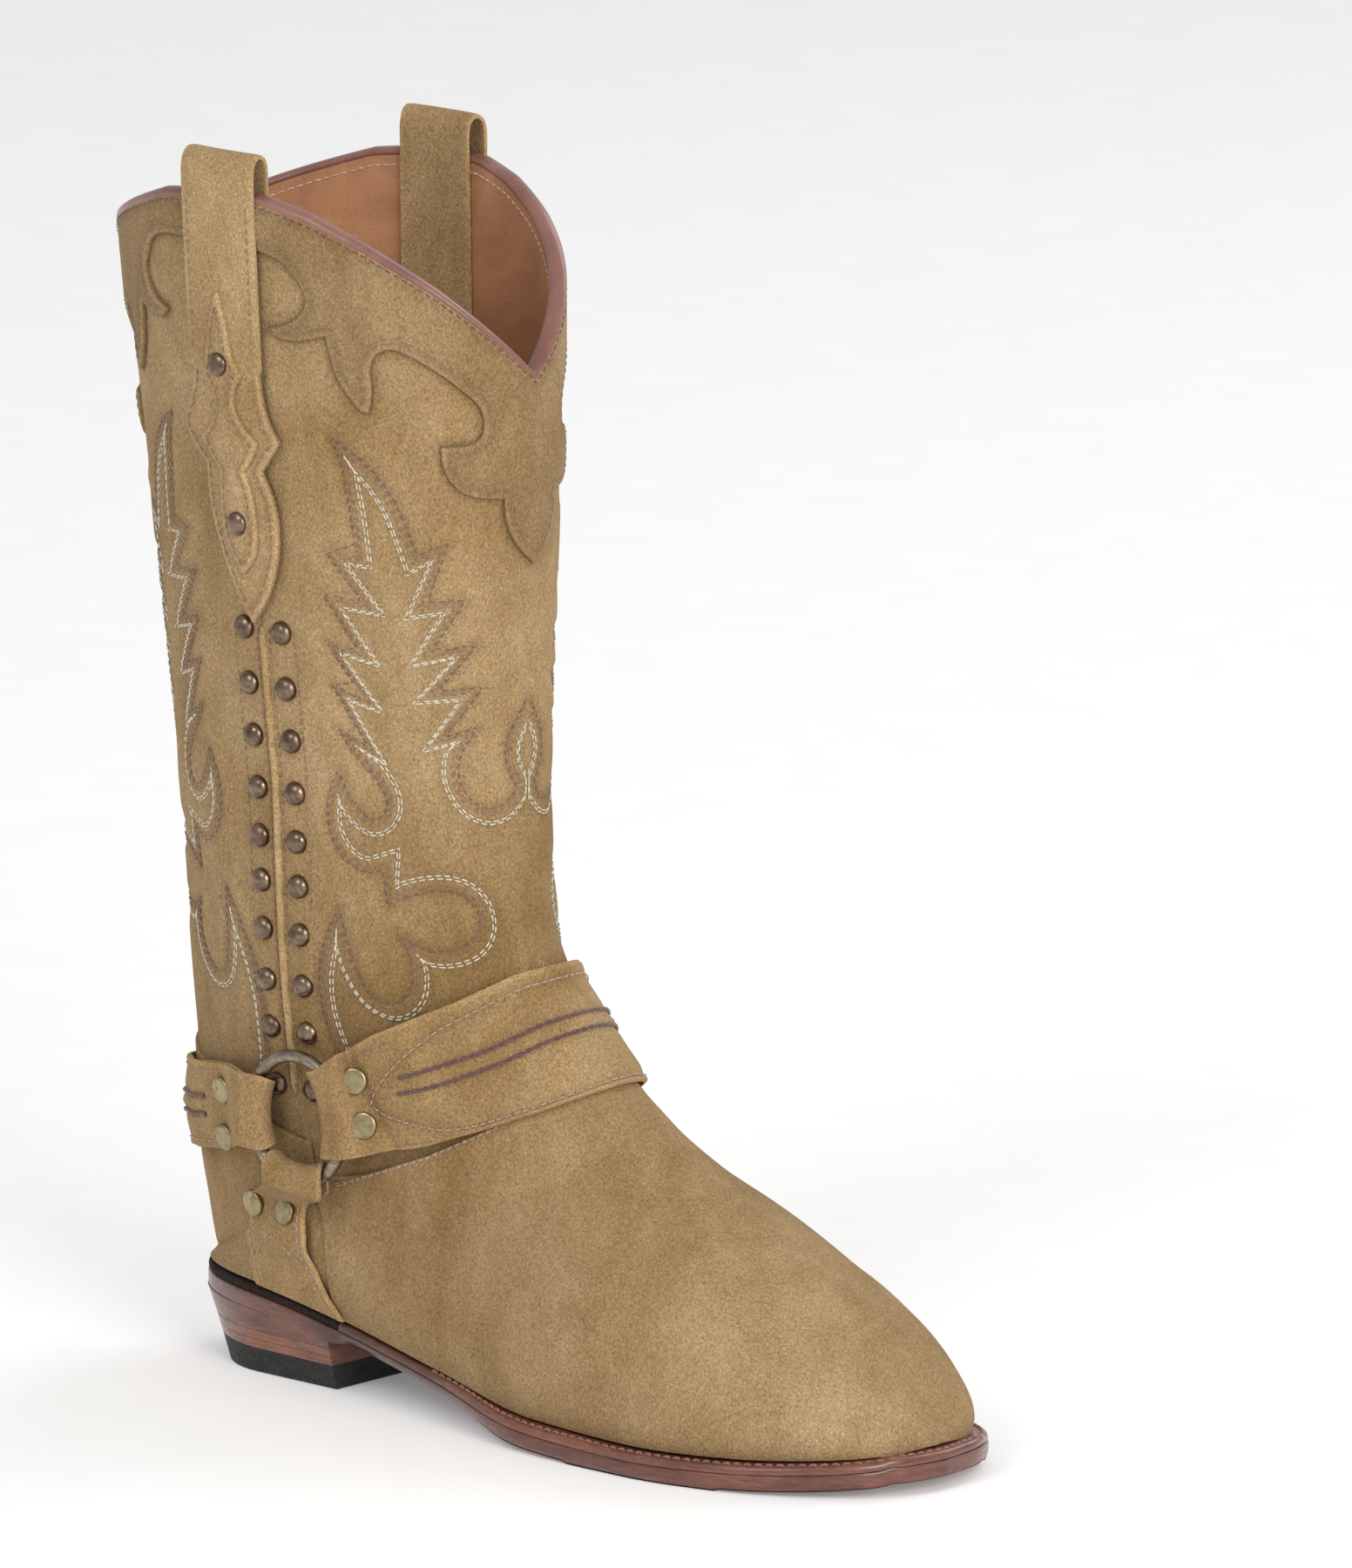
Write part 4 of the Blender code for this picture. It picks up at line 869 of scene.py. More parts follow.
FRONT_RELIEF, FRONT_TONE = relief_of(1.0, 1.0)
BACK_RELIEF, BACK_TONE = relief_of(BACK_SCALE["flame"], BACK_SCALE["collar"])


# ------------------------------------------------------------------ shaft, vamp, counter and lining
def waves(p, size):
    """Slow undulation of soft leather."""
    x, y, z = p[..., 0], p[..., 1], p[..., 2]
    return size * (
        np.sin(x / 9.1 + y / 14.0) * np.sin(z / 12.3 - y / 11.0) + 0.6 * np.sin(x / 5.3 - z / 7.1 + 1.3)
        * np.sin(y / 6.7 + 0.4)
    ) / 1.6


def rim_station(u, drop=0.0):
    """Station of the rim at girth share u, or of a line drop millimetres below it."""
    return along(RIM, np.abs(u)) + drop / 44.0


def front_share(c, t):
    """Girth share of column c at station t, clear of the side seam."""
    side = np.where(c < 0, -1, 1)
    edge = np.where(t < SEAM_END, girth(t, along(SEAM_X, t), side), 1.0)
    edge = np.where(edge < 0.999, edge - SEAM_GAP / 190, edge)
    # the inner columns widen slowly, so that only the outer ones follow the seam round its corner
    start = girth(HEEL_STATION, along(SEAM_X, HEEL_STATION), side)
    calm = np.where(t < HEEL_STATION, edge, lerp(start, 1.0, np.clip((t - HEEL_STATION) / SPREAD, 0, 1)))
    return c * (calm + (edge - calm) * c**4)


def tuck(t):
    """How far a back panel's side edges sink to pass under the front panel."""
    return smooth((np.abs(np.linspace(-1, 1, t.shape[1])) - 0.93) / 0.05)[None]


def back_grid(top, low, columns, count, foot=False, under=0.0):
    """Stations and shares of a grid round the back from the heights top(c) to low(c)."""
    c = np.linspace(-1, 1, columns)
    side = np.where(c < 0, -1, 1)
    found = []
    for k in np.linspace(0, 1, count):
        z = lerp(top(c), low(c), k)
        reach = along(SEAM_X, place(45.0, z, side)[0]) + under - SEAM_GAP
        x = lerp(back_x(z), reach, 1 - np.cos(np.abs(c) * math.pi / 2))
        if foot:
            z = lerp(top(c), np.maximum(low(c), feather_z(x) + 0.15), k)
        found.append(place(x, z, side))
    t, u = zip(*found)
    return np.array(t), np.array(u)


def back_rim(c):
    return rows(rim_station(1 - np.abs(c) * 0.5, RIM_DROP))[..., 3]


def counter_top(c):
    return along(COUNTER_TOP, np.abs(c))


def lowest(c):
    return np.full(len(c), 20.0)


def shaft_panel(name, tables, t, u, relief, tone, sunk=0.0):
    """A quilted suede panel of the shaft over a grid of stations and shares, sunk by some millimetres."""
    flat = flat_of(tables, t, u)
    outer = at(t, u, relief(flat) + waves(bare(t, u), 0.12) - sunk)
    shell(f"{name}_panel", outer, at(t, u, PANEL_IN), SUEDE, tone(flat), stands_for=[name], slot="suede")


def shaft():
    c = np.linspace(-1, 1, 151)
    t = lerp(rim_station(c * 0.5, RIM_DROP), along(VAMP_TOP, np.abs(c) * 0.53) + 0.62, steps(215))
    shaft_panel("shaft_front", FRONT, t, front_share(c, t), FRONT_RELIEF, FRONT_TONE)
    t, u = back_grid(back_rim, lambda c: counter_top(c) - 8, 141, 185, under=3.0)
    shaft_panel("shaft_back", BACK, t, u, BACK_RELIEF, BACK_TONE, tuck(t))


def toe_closed(grid):
    """The grid with its last row drawn in to the middle of the toe."""
    last = grid[-1]
    middle = (last[0] + last[-1]) / 2 + (0.35, 0, 0)
    return np.concatenate([grid, [lerp(last, middle, k) for k in (0.3, 0.65, 0.97)]])


def skived(t):
    """Depth of the vamp's face, thinned at its top edge."""
    return lerp(0.75, COVER[1], smooth((t - 6.2) / 1.0))


def foot_tone(p):
    """Darker suede just above the sole."""
    return 0.1 * (1 - smooth((p[..., 2] - feather_z(p[..., 0]) - 1.0) / 7.0))


def down_to_toe(top, count, toe_station, toe_count, columns):
    """Stations from a shaped top row to the ball, and straight rows from there to the toe."""
    toe = np.broadcast_to(np.linspace(BALL, toe_station, toe_count)[1:, None], (toe_count - 1, columns))
    return np.concatenate([lerp(top, BALL, steps(count)), toe])


def vamp():
    c = np.linspace(-1, 1, 141)
    top = along(VAMP_TOP, np.abs(c) * 0.56)
    t = down_to_toe(top, 90, TOE_STATION, 100, len(c))
    u = front_share(c, t)
    below = t - top
    edge = 0.35 * (1 - np.sqrt(np.clip(1 - (1 - np.clip(below / 0.05, 0, 1)) ** 2, 0, 1)))
    p = bare(t, u)
    outer = at(t, u, skived(t) - edge + waves(p, 0.16) * smooth((p[..., 2] - 18) / 20))
    # painted highlight along the vamp's skived top edge, painted shade just below it, and a darker tone just
    # above the sole
    tone = 0.5 + 0.2 * bell(below, 0.03) - 0.1 * bell(below - 0.12, 0.06) - foot_tone(p)
    tone = np.concatenate([tone, np.repeat(tone[-1:], 3, 0)])
    shell("vamp_cover", toe_closed(outer), toe_closed(at(t, u, COVER[0])), SUEDE, tone, stands_for=["vamp"],
          slot="suede")
    lines = []
    for reach in (0.16, 0.27):
        for low, high in ((-0.93, -0.02), (0.02, 0.93)):
            c = np.linspace(low, high, 200)
            q = along(VAMP_TOP, np.abs(c) * 0.56) + reach
            lines.append(line_at(q, front_share(c, q), skived(q) + 0.15))
    sew("vamp_top_stitches", lines, THREAD_PINK, 1.9, 0.22, lift=0.16)


def counter():
    t, u = back_grid(counter_top, lowest, 121, 80, foot=True, under=3.0)
    p = bare(t, u)
    d = COVER[1] + waves(p, 0.15) - tuck(t)
    d[0] -= 0.4
    shell("counter", at(t, u, d), at(t, u, COVER[0]), SUEDE, 0.5 - foot_tone(p), stands_for=["counter_cover"],
          slot="suede")


def lining(name, t, u, high, low):
    shell(f"lining_{name}_leather", at(t, u, high), at(t, u, low), LINING, stands_for=[f"lining_{name}"],
          slot="lining")


def linings():
    c = np.linspace(-1, 1, 81)
    t = down_to_toe(rim_station(c * 0.5, RIM_DROP), 120, 19.25, 40, len(c))
    u = front_share(c, t)
    low = lerp(-3.0, -4.7, smooth((t - 6.0) / 3.0)) + waves(bare(t, u), 0.3) * smooth((t - 1.0) / 2.0)
    high = lerp(lerp(-1.9, -2.7, smooth((t - 2.5) / 1.5)), -2.7, smooth((t - 16.2) / 0.5))
    lining("front", t, u, high, low)
    t, u = back_grid(back_rim, lowest, 81, 150, foot=True)
    p = bare(t, u)
    z = p[..., 2]
    low = lerp(-3.0, -4.7, smooth((110 - z) / 45.0))
    low = low + waves(p, 0.3) * smooth((z - 60) / 40) * smooth((300 - z) / 40)
    lining("back", t, u, lerp(-1.9, -3.9, smooth((72 - z) / 8.0)), low)


# ------------------------------------------------------------------ collars and their stitches
def collar_reach(tables):
    """Arc at which the collar stops, just short of the side seam."""
    z = np.array([335.0])
    t, u = place(along([(223, 51), (352, 40)], z), z, -1)
    return float(flat_of(tables, t, u)[0, 0]) - 0.6


def collar(where, tables, k):
    """A scroll-edged collar and its two rows of stitches."""
    share = np.linspace(0, 0.5, 90)
    u = 1 - share if tables["back"] else share
    rim = flat_of(tables, rim_station(u, 0.6), u)
    reach = collar_reach(tables)
    lower = curve(scaled(COLLAR_EDGE, k), 0.75)
    lower = lower[lower[:, 0] < reach]
    lower = np.concatenate([[(reach, lower[0, 1])], lower])
    rim = rim[rim[:, 0] < reach]
    rim = resample(np.concatenate([rim, [(reach, rim[-1, 1])]]), 1.5)
    side = resample(np.array([(reach, rim[-1, 1]), (reach, lower[0, 1])]), 1.5)[1:-1]
    half = np.concatenate([rim, side, lower])
    # the half outline is mirrored over the front or back line
    ring = np.concatenate([half, (half * (-1, 1))[::-1][1:-1]])
    name = f"collar_{where}_leather"

    def surface(flat, depth):
        return at(*on_shaft(tables, flat), depth)

    cut_patch(name, ring, surface, COLLAR[0], COLLAR[1] - COLLAR[0], SUEDE_COLLAR, 2.0, crown=0.25,
              stands_for=[f"collar_{where}"], slot="collar")
    lines = []
    edge = outline_of(scaled(COLLAR_EDGE, k))
    for inset in (1.9, 3.1):
        flat = joined(offset(scaled(COLLAR_EDGE, k), inset), 0.7)
        clear = to_lines(flat, edge) > inset * 0.9
        flat = resample(flat[clear & (flat[:, 0] < reach - 1) & (flat[:, 0] > 0)], 0.7)
        for sign in SIDES.values():
            lines.append(laid(tables, flat * (sign, 1), COLLAR[1] + 0.1))
    sew(name + "_stitches", lines, THREAD_TAN, 1.8, 0.17, lift=0.15)


def flame(name, tables, k, relief):
    """The rows of coloured stitches of a flame, on both halves of a panel."""
    outline = outline_of(scaled(FLAME, k))
    for colour, (material, radius, insets) in FLAME_ROWS.items():
        lines = []
        for inset in insets:
            flat = joined([clear_of(p, outline, inset * 0.9) for p in offset(scaled(FLAME, k), inset)], 0.6)
            clear = to_lines(flat, outline) > inset * 0.43
            flat = resample(flat[clear & (flat[:, 0] > 0.5) & (flat[:, 1] > 88)], 0.6)
            for sign in SIDES.values():
                lines.append(laid(tables, flat * (sign, 1), 0.06, relief))
        sew(f"{name}_{colour}", lines, material, 1.8, radius, gap=0.75, lift=0.15)


# ------------------------------------------------------------------ rim, seams and pull straps
def half_rims(end, count):
    """Girth shares along the rim's front half and its back half, each stopping short of the side seams."""
    for low, high in ((-end, end), (1 - end, 1 + end)):
        share = np.linspace(low, high, count)
        yield np.where(share > 1, share - 2, share)


def top_binding():
    u = np.concatenate(list(half_rims(0.495, 150)))
    t = rim_station(u)
    middle = (LINING_SHAFT[0] + COLLAR[1]) / 2
    half = (COLLAR[1] - LINING_SHAFT[0]) / 2 + 0.1
    profile = [
        (-half, -1.2), (-half + 0.2, -1.5), (half - 0.2, -1.5), (half, -1.2), (half + 0.22, -0.6),
        (half + 0.16, 0.0), (half * 0.85, 0.6), (half * 0.5, 1.05), (half * 0.1, 1.2), (-half * 0.4, 1.1),
        (-half * 0.8, 0.65), (-half - 0.14, 0.0), (-half - 0.22, -0.6),
    ]
    swept("rim_binding", np.stack([at(t, u, middle + d) + UP * h for d, h in profile], 1), PIPING, True,
          stands_for=["top_binding"], slot="piping")
    lines = []
    for v in half_rims(0.495, 260):
        path, normals = line_at(rim_station(v), v, COLLAR[1] + 0.12)
        lines.append((path + UP * -2.2, normals))
    sew("rim_binding_stitches", lines, THREAD_DARK, 1.7, 0.19, gap=0.9, lift=0.12)
    lines = []
    for v in half_rims(0.48, 260):
        path, normals = line_at(rim_station(v, 4.0), v, LINING_SHAFT[0] - 0.05)
        lines.append((path, -normals))
    sew("lining_stitches", lines, THREAD_CREAM, 2.0, 0.25, lift=0.16)


def side_seams():
    z = np.linspace(222, 86, 120)
    x = along(STUD_LINE, z)
    taper = 1.25 * np.sqrt(np.clip(np.minimum((222.3 - z) / 3.0, (z - 85.7) / 3.0), 0.02, 1))
    for name, side in SIDES.items():
        path, normals = line_at(*place(x, z, side), 0.1)
        tangent = unit(np.gradient(path, axis=0))
        across = unit(np.cross(tangent, normals))
        loops = path[:, None] + spokes(across, np.cross(across, tangent), 10) * taper[:, None, None]
        swept(f"side_welt_{name}", loops, SUEDE_STRAP, False, np.full(loops.shape[:2], 0.62),
              stands_for=[f"side_piping_{name}"], slot="piping")
        lines = [line_at(*place(x + shift, z, side), 0.1) for shift in (-2.3, 2.3, -11.3, 11.3)]
        sew(f"side_seam_stitches_{name}", lines, THREAD_TAN, 1.9, 0.19)


def strap_middle(z):
    return along([(223, 50), (300, 42), (352, 40)], z)


def on_strap(w, z, side):
    """Station and share at w millimetres across a pull strap, at height z."""
    return place(strap_middle(z) + w, z, side)


STRAP_BASE = [
    [(-12.8, 300), (-12.9, 293), (-15, 287), (-18.5, 281), (-19.4, 276.5)],
    [(-19.4, 276.5), (-15.8, 271.5), (-11.6, 267.2)],
    [(-11.6, 267.2), (-12, 259), (-11, 250), (-8.2, 240), (-4, 230), (0, 223)],
    [(0, 223), (6, 230.5), (10.6, 240), (12.8, 250), (12.4, 259), (9.4, 267.2)],
    [(9.4, 267.2), (13, 271.5), (16.6, 276)],
    [(16.6, 276), (13.4, 283), (12.4, 291), (12.8, 300)],
    [(12.8, 300), (-12.8, 300)],
]
STRAP_OVERLAY = [
    [(-0.6, 317.5), (-3.6, 309), (-5.2, 300), (-7.2, 293.4)],
    [(-7.2, 293.4), (-4.4, 289), (-4.2, 284), (-7.2, 279), (-10.6, 275.8)],
    [(-10.6, 275.8), (-7.4, 270), (-4.6, 266.6)],
    [(-4.6, 266.6), (-5.8, 258), (-5.6, 249), (-3.2, 242), (0, 237.4)],
    [(0, 237.4), (4.6, 242.4), (6.6, 250), (6.4, 259), (4.4, 267.2)],
    [(4.4, 267.2), (7.4, 270.6), (10.4, 275.6)],
    [(10.4, 275.6), (5.8, 280), (3.4, 285), (4.2, 290), (7.2, 294.4)],
    [(7.2, 294.4), (4.4, 300), (2.8, 309), (0.6, 317.5)],
    [(0.6, 317.5), (-0.6, 317.5)],
]
STRAP_END = 292.0
STRAP_SEAT = COLLAR[1] + GAP


def ribbon_low(z):
    """Depth of the underside of a pull strap's ribbon at height z."""
    return STRAP_SEAT + 0.3 * smooth((303 - z) / 6.0)


def pull_strap(name, side):
    w = np.linspace(-13.5, 13.5, 15)
    soft = 0.35 * (1 - np.sqrt(1 - np.clip((np.abs(w) - 12.4) / 1.2, 0, 1) ** 2))
    grid = []
    for z in np.linspace(STRAP_END, 343, 46):
        narrow = np.clip((z - STRAP_END + 1.0) / 5.0, 0, 1) ** 0.7
        t, u = on_strap(w * lerp(0.35, 1.0, narrow), z, side)
        low = ribbon_low(z)
        grid.append((at(t, u, low + 1.3 - soft), at(t, u, low)))
    out = STRAP_SEAT + STRAP_HALF
    inside_depth = LINING_SHAFT[0] - GAP - STRAP_HALF
    t, u = on_strap(w, 345.0, side)
    n = normal(t, u)
    start = at(t, u, out)[:, 2]
    for a in np.linspace(0, math.pi, 22)[1:-1]:
        bulge = (out - inside_depth) / 2 + 0.9 * math.sin(a)
        p = at(t, u, (out + inside_depth) / 2 + bulge * math.cos(a))
        p[:, 2] = start + 12.6 * math.sin(a) ** 0.55 - 1.0
        out_way = n * math.cos(a) + UP * math.sin(a)
        grid.append((p + out_way * (STRAP_HALF - soft)[:, None], p - out_way * STRAP_HALF))
    for z in np.linspace(343, 295, 25):
        t, u = on_strap(w, z, side)
        grid.append((at(t, u, inside_depth - STRAP_HALF + soft), at(t, u, inside_depth + STRAP_HALF)))
    outer, inner = np.array(grid).swapaxes(0, 1)
    # painted highlight along the ribbon's rounded edges
    tone = np.broadcast_to(0.5 + 0.16 * bell(13.5 - np.abs(w), 0.8), outer.shape[:2])
    shell(f"pull_strap_loop_{name}", outer, inner, SUEDE_STRAP, tone, stands_for=[f"pull_strap_{name}"],
          slot="suede")

    def surface(flat, depth):
        return at(*on_strap(flat[:, 0], flat[:, 1], side), depth)

    ring = curve(STRAP_BASE, 0.8)
    cut_patch(f"pull_strap_base_{name}", ring, surface, STRAP_SEAT - 0.3, 1.6, SUEDE_STRAP, 1.8, slot="suede")
    over = curve(STRAP_OVERLAY, 0.7)
    cut_patch(f"pull_strap_patch_{name}", over, surface, STRAP_SEAT + 1.0, 1.75, SUEDE_STRAP, 1.6, crown=0.25,
              stands_for=[f"strap_overlay_{name}"], slot="suede")
    lines = []
    for drawn, inset, depth in ((ring, 2.0, 1.4), (over, 1.7, 2.95)):
        lines.append(line_at(*on_strap(*edge_line(drawn, inset).T, side), STRAP_SEAT + depth))
    z = np.linspace(STRAP_END + 8, 343, 60)
    for shift in (-11.3, 11.3):
        lines.append(line_at(*on_strap(shift, z, side), ribbon_low(z) + 1.32))
    sew(f"pull_strap_stitches_{name}", lines, THREAD_TAN, 1.9, 0.19, gap=0.9, lift=0.12)


# ------------------------------------------------------------------ turned metal
HEAD_SIDES = 28


def turned(name, spots, profile, material, **more):
    """Lathe-turned heads standing on spots of (point, axis); the profile starts and ends on the axis."""
    points, faces = [], []
    rings = len(profile) - 2
    angle = np.arange(HEAD_SIDES) * 2 * math.pi / HEAD_SIDES
    for centre, axis in spots:
        axis = Vector(axis).normalized()
        side = axis.orthogonal().normalized()
        other = np.array(axis.cross(side))
        round_it = np.array(side) * np.cos(angle)[:, None] + other * np.sin(angle)[:, None]
        axis = np.array(axis)
        start = len(points)
        for r, h in profile[1:-1]:
            points.extend(centre + axis * h + round_it * r)
        faces += tube_faces(rings, HEAD_SIDES, False, start)[:-2]
        low = len(points)
        points += [centre + axis * profile[0][1], centre + axis * profile[-1][1]]
        end = low - HEAD_SIDES
        for s in range(HEAD_SIDES):
            k = (s + 1) % HEAD_SIDES
            faces += [(start + k, start + s, low), (end + s, end + k, low + 1)]
    made(name, points, outward(points, faces), material, **more)


def dome(radius, height):
    """Profile of a domed stud: its foot, a narrow rim and a quarter round."""
    quarter = np.linspace(0, math.pi / 2, 9)[:-1]
    arc = [(radius * math.cos(a), 0.15 + (height - 0.15) * math.sin(a)) for a in quarter]
    return [(0, -0.6), (radius * 0.9, -0.6), (radius, -0.1)] + arc + [(0, height)]


STUD = dome(3.45, 2.6)
STRAP_STUD = dome(3.4, 1.9)
# a rivet's head: shares of its radius and heights
RIVET_RADIUS = 3.95
RIVET_HEIGHT = 1.35
RIVET_SHANK = [(0, -1.2), (0.88, -1.2), (0.93, -0.6), (0.96, -0.1), (1, 0.1)]
RIVET_HEAD = [(1, 0.55), (0.97, 0.78), (0.9, 0.93), (0.8, 1.0), (0.72, 1.0), (0.4, 1.09), (0, 1.12)]
RIVET = [(r * RIVET_RADIUS, h) for r, h in RIVET_SHANK]
RIVET += [(r * RIVET_RADIUS, h * RIVET_HEIGHT) for r, h in RIVET_HEAD]


def studs():
    for name, side in SIDES.items():
        for row, shift in (("front", STUD_SIDE), ("back", -STUD_SIDE)):
            spots = zip(*line_at(*place(along(STUD_LINE, STUD_Z) + shift, STUD_Z, side), 0.1))
            turned(f"studs_{row}_{name}", spots, STUD, BRONZE, stands_for=[f"stud_row_{row}_{name}"],
                   slot="stud_metal")
        for where, shift, z in (("upper", -0.4, 297.0), ("lower", 0.2, 252.0)):
            spot = line_at(*on_strap(shift, z, side), STRAP_SEAT + 3.0)
            turned(f"strap_rivet_{where}_{name}", [spot], STRAP_STUD, BRONZE,
                   stands_for=[f"strap_stud_{where}_{name}"], slot="stud_metal")


# ------------------------------------------------------------------ harness rings and straps
def ring_frame(side):
    """Centre of a ring, its axis out of the boot and the direction towards the toe in its plane."""
    t, u = place(RING_X, RING_Z, side)
    y = at(t, u, 0.0)[1] + side * RING_LIFT
    turn = math.radians(RING_TURN)
    axis = np.array([-math.sin(turn), side * math.cos(turn), 0.0])
    forward = unit(np.array([axis[1] * side, -axis[0] * side, 0.0]))
    return np.array([RING_X, y, RING_Z]), axis, forward


def rings():
    b = np.arange(18)[:, None] * 2 * math.pi / 18
    for name, side in SIDES.items():
        centre, axis, forward = ring_frame(side)
        loops = []
        for a in np.arange(120) * 2 * math.pi / 120:
            out = forward * math.cos(a) + UP * math.sin(a)
            wire = RING_WIRE * (1 + 0.012 * math.sin(3 * a + 1) + 0.008 * math.sin(7 * a))
            loops.append(centre + out * (RING_RADIUS + wire * np.cos(b)) + axis * wire * np.sin(b))
        swept(f"harness_ring_metal_{name}", loops, NICKEL, True, body=f"{name}_ring",
              stands_for=[f"harness_ring_{name}"], slot="ring_metal")


FOLD_CURVE = 0.6
UNDER_SHARE = 0.78
# the mark of the strap rows that no face is looked up on
OFF = 9.0
STRAP_POINTS = 27
SHARE = np.concatenate([[0, 0.012, 0.03], np.linspace(0.06, 0.94, STRAP_POINTS - 6), [0.97, 0.988, 1]])


def layer_row(t, u, depths, under, mark):
    """A control row of a strap: outer points, inner points and mark. An under layer faces the boot."""
    outer, inner = at(t, u, depths[1]), at(t, u, depths[0])
    return (inner, outer, mark) if under else (outer, inner, mark)


def loop_rows(side, lean, half, fold, far, width_shift=0.0, flip=1, flare=0.0):
    """Rows of a strap end bent round the ring, from the under layer to the top layer."""
    centre, axis, forward = ring_frame(side)
    a = math.radians(lean)
    pull = forward * math.cos(a) + UP * math.sin(a)
    across = (-forward * math.sin(a) + UP * math.cos(a)) * flip
    rho = LOOP_RADIUS
    seat = fold + rho + STRAP_HALF
    profile = [((far, -rho), (0, -1)), ((seat + 2, -rho), (0, -1))]
    for degrees in range(270, 89, -15):
        b = math.radians(degrees)
        profile.append(((seat + rho * math.cos(b), rho * math.sin(b)), (math.cos(b), math.sin(b))))
    profile += [((seat + 2, rho), (0, 1)), ((far, rho), (0, 1))]
    w = (lerp(-half, half, SHARE) + width_shift)[:, None]
    sag = FOLD_CURVE * (np.sqrt(RING_RADIUS**2 - w**2) - math.sqrt(RING_RADIUS**2 - half**2))
    out = []
    for (r, d), (nr, nd) in profile:
        n = pull * nr + axis * nd
        narrow = lerp(UNDER_SHARE, 1.0, (d + rho) / (2 * rho))
        wide = (w + flare * SHARE[:, None] * smooth((r - seat) / (far - seat))) * narrow
        p = centre + pull * (r + sag * smooth((far - r) / (far - seat - 2.5))) + axis * d + across * wide
        out.append((p + n * STRAP_HALF, p - n * STRAP_HALF, OFF))
    return out


def strap_grid(rows_in):
    """Dense outer and inner rows and marks of a strap from its control rows."""
    flat = np.array([np.concatenate([a.ravel(), b.ravel(), [mark]]) for a, b, mark in rows_in])
    dense = catmull(flat, 10)
    dense[:, -1] = np.interp(np.linspace(0, len(flat) - 1, len(dense)), np.arange(len(flat)), flat[:, -1])
    n = len(SHARE) * 3
    middle = n // 6 * 3
    s = lengths(dense[:, middle:middle + 3])
    even = sampled(np.linspace(0, s[-1], int(s[-1] / 0.9) + 1), s, dense)
    outer, inner = (even[:, k:k + n].reshape(len(even), -1, 3) for k in (0, n))
    return outer, inner, even[:, -1]


def strap(name, rows_in, width, low, high, relief=None, **more):
    """A soft strap through its control rows, raised by relief(mark, share). Returns its face, low to high."""
    outer, inner, marks = strap_grid(rows_in)
    gap = np.minimum(SHARE, 1 - SHARE) * width
    ease = 1 - np.sqrt(1 - (1 - np.clip(gap / 0.9, 0, 1)) ** 2)
    away = unit(outer - inner)
    outer = outer - (outer - inner) * 0.38 * ease[:, None]
    # painted highlight along the strap's rounded edges
    shade = np.broadcast_to(0.5 + 0.24 * bell(gap - 0.2, 0.5), outer.shape[:2])
    if relief is not None:
        # the relief's tint adds painted shade in its grooves
        lift, tint = relief(*np.broadcast_arrays(marks[:, None], SHARE))
        outer = outer + away * lift[..., None]
        shade = shade + tint
    shell(name, outer, inner, SUEDE_STRAP, shade, slot="suede", **more)
    return Face(outer, away, marks, low, high)


def ropes(name, lines, body):
    """Thick two-strand cords laid along lines of (points, normals)."""
    points, faces = [], []
    angle = np.arange(10) * 2 * math.pi / 10
    for path, normals in lines:
        s = lengths(path)
        even = resample(path, 0.3)
        where = np.linspace(0, s[-1], len(even))
        n = unit(sampled(where, s, normals))
        lobes = 0.5 + 0.16 * np.cos(2 * angle - where[:, None] * 2.1)
        across = unit(np.cross(unit(np.gradient(even, axis=0)), n))
        faces += tube_faces(len(even), 10, False, len(points))
        points.extend((even[:, None] + spokes(across, n, 10) * lobes[..., None]).reshape(-1, 3))
    made(name, points, outward(points, faces), THREAD_DARK, body=body)


class Face:
    """The outer face of a finished strap, looked up by mark along it and share across it."""

    def __init__(self, outer, away, marks, low, high):
        pick = (marks >= low) & (marks <= high)
        order = np.argsort(marks[pick])
        self.marks = marks[pick][order]
        self.points = outer[pick][order]
        self.away = away[pick][order]

    def lay(self, line, lift):
        """Points and normals at (mark, share) pairs."""
        i = np.interp(line[:, 0], self.marks, np.arange(len(self.marks)))
        j = np.interp(line[:, 1], SHARE, np.arange(len(SHARE)))
        p, n = (np.stack([bilinear(v[..., c], i, j) for c in range(3)], -1) for v in (self.points, self.away))
        n = unit(n)
        return p + n * lift, n

    def row(self, marks, share, lift=0.1):
        """A line of points and normals along the strap at a share across it."""
        return self.lay(np.stack(np.broadcast_arrays(marks, share), -1), lift)

    def seat(self, mark, share):
        """Where a rivet rests on the strap: the middle of its rim's four touching points and its axis."""
        p, n = self.lay(RIVET_REACH + (mark, share), 0.35)
        way = unit(n.mean(axis=0))
        axis = unit(np.cross(p[1] - p[0], p[3] - p[2]))
        return p.mean(axis=0), unit(axis * np.sign(axis @ way) + way)


def rivets(name, spots, body, stands_for):
    """Round-headed rivets; spots are (point, axis)."""
    turned(name, spots, RIVET, BRASS, body=body, stands_for=stands_for, slot="stud_metal")


def both_sides(pair):
    """A strap's pair of rivets on each side of the boot."""
    return [f"{pair}_{tag}_{word}" for word in SIDES for tag in ("upper", "lower")]


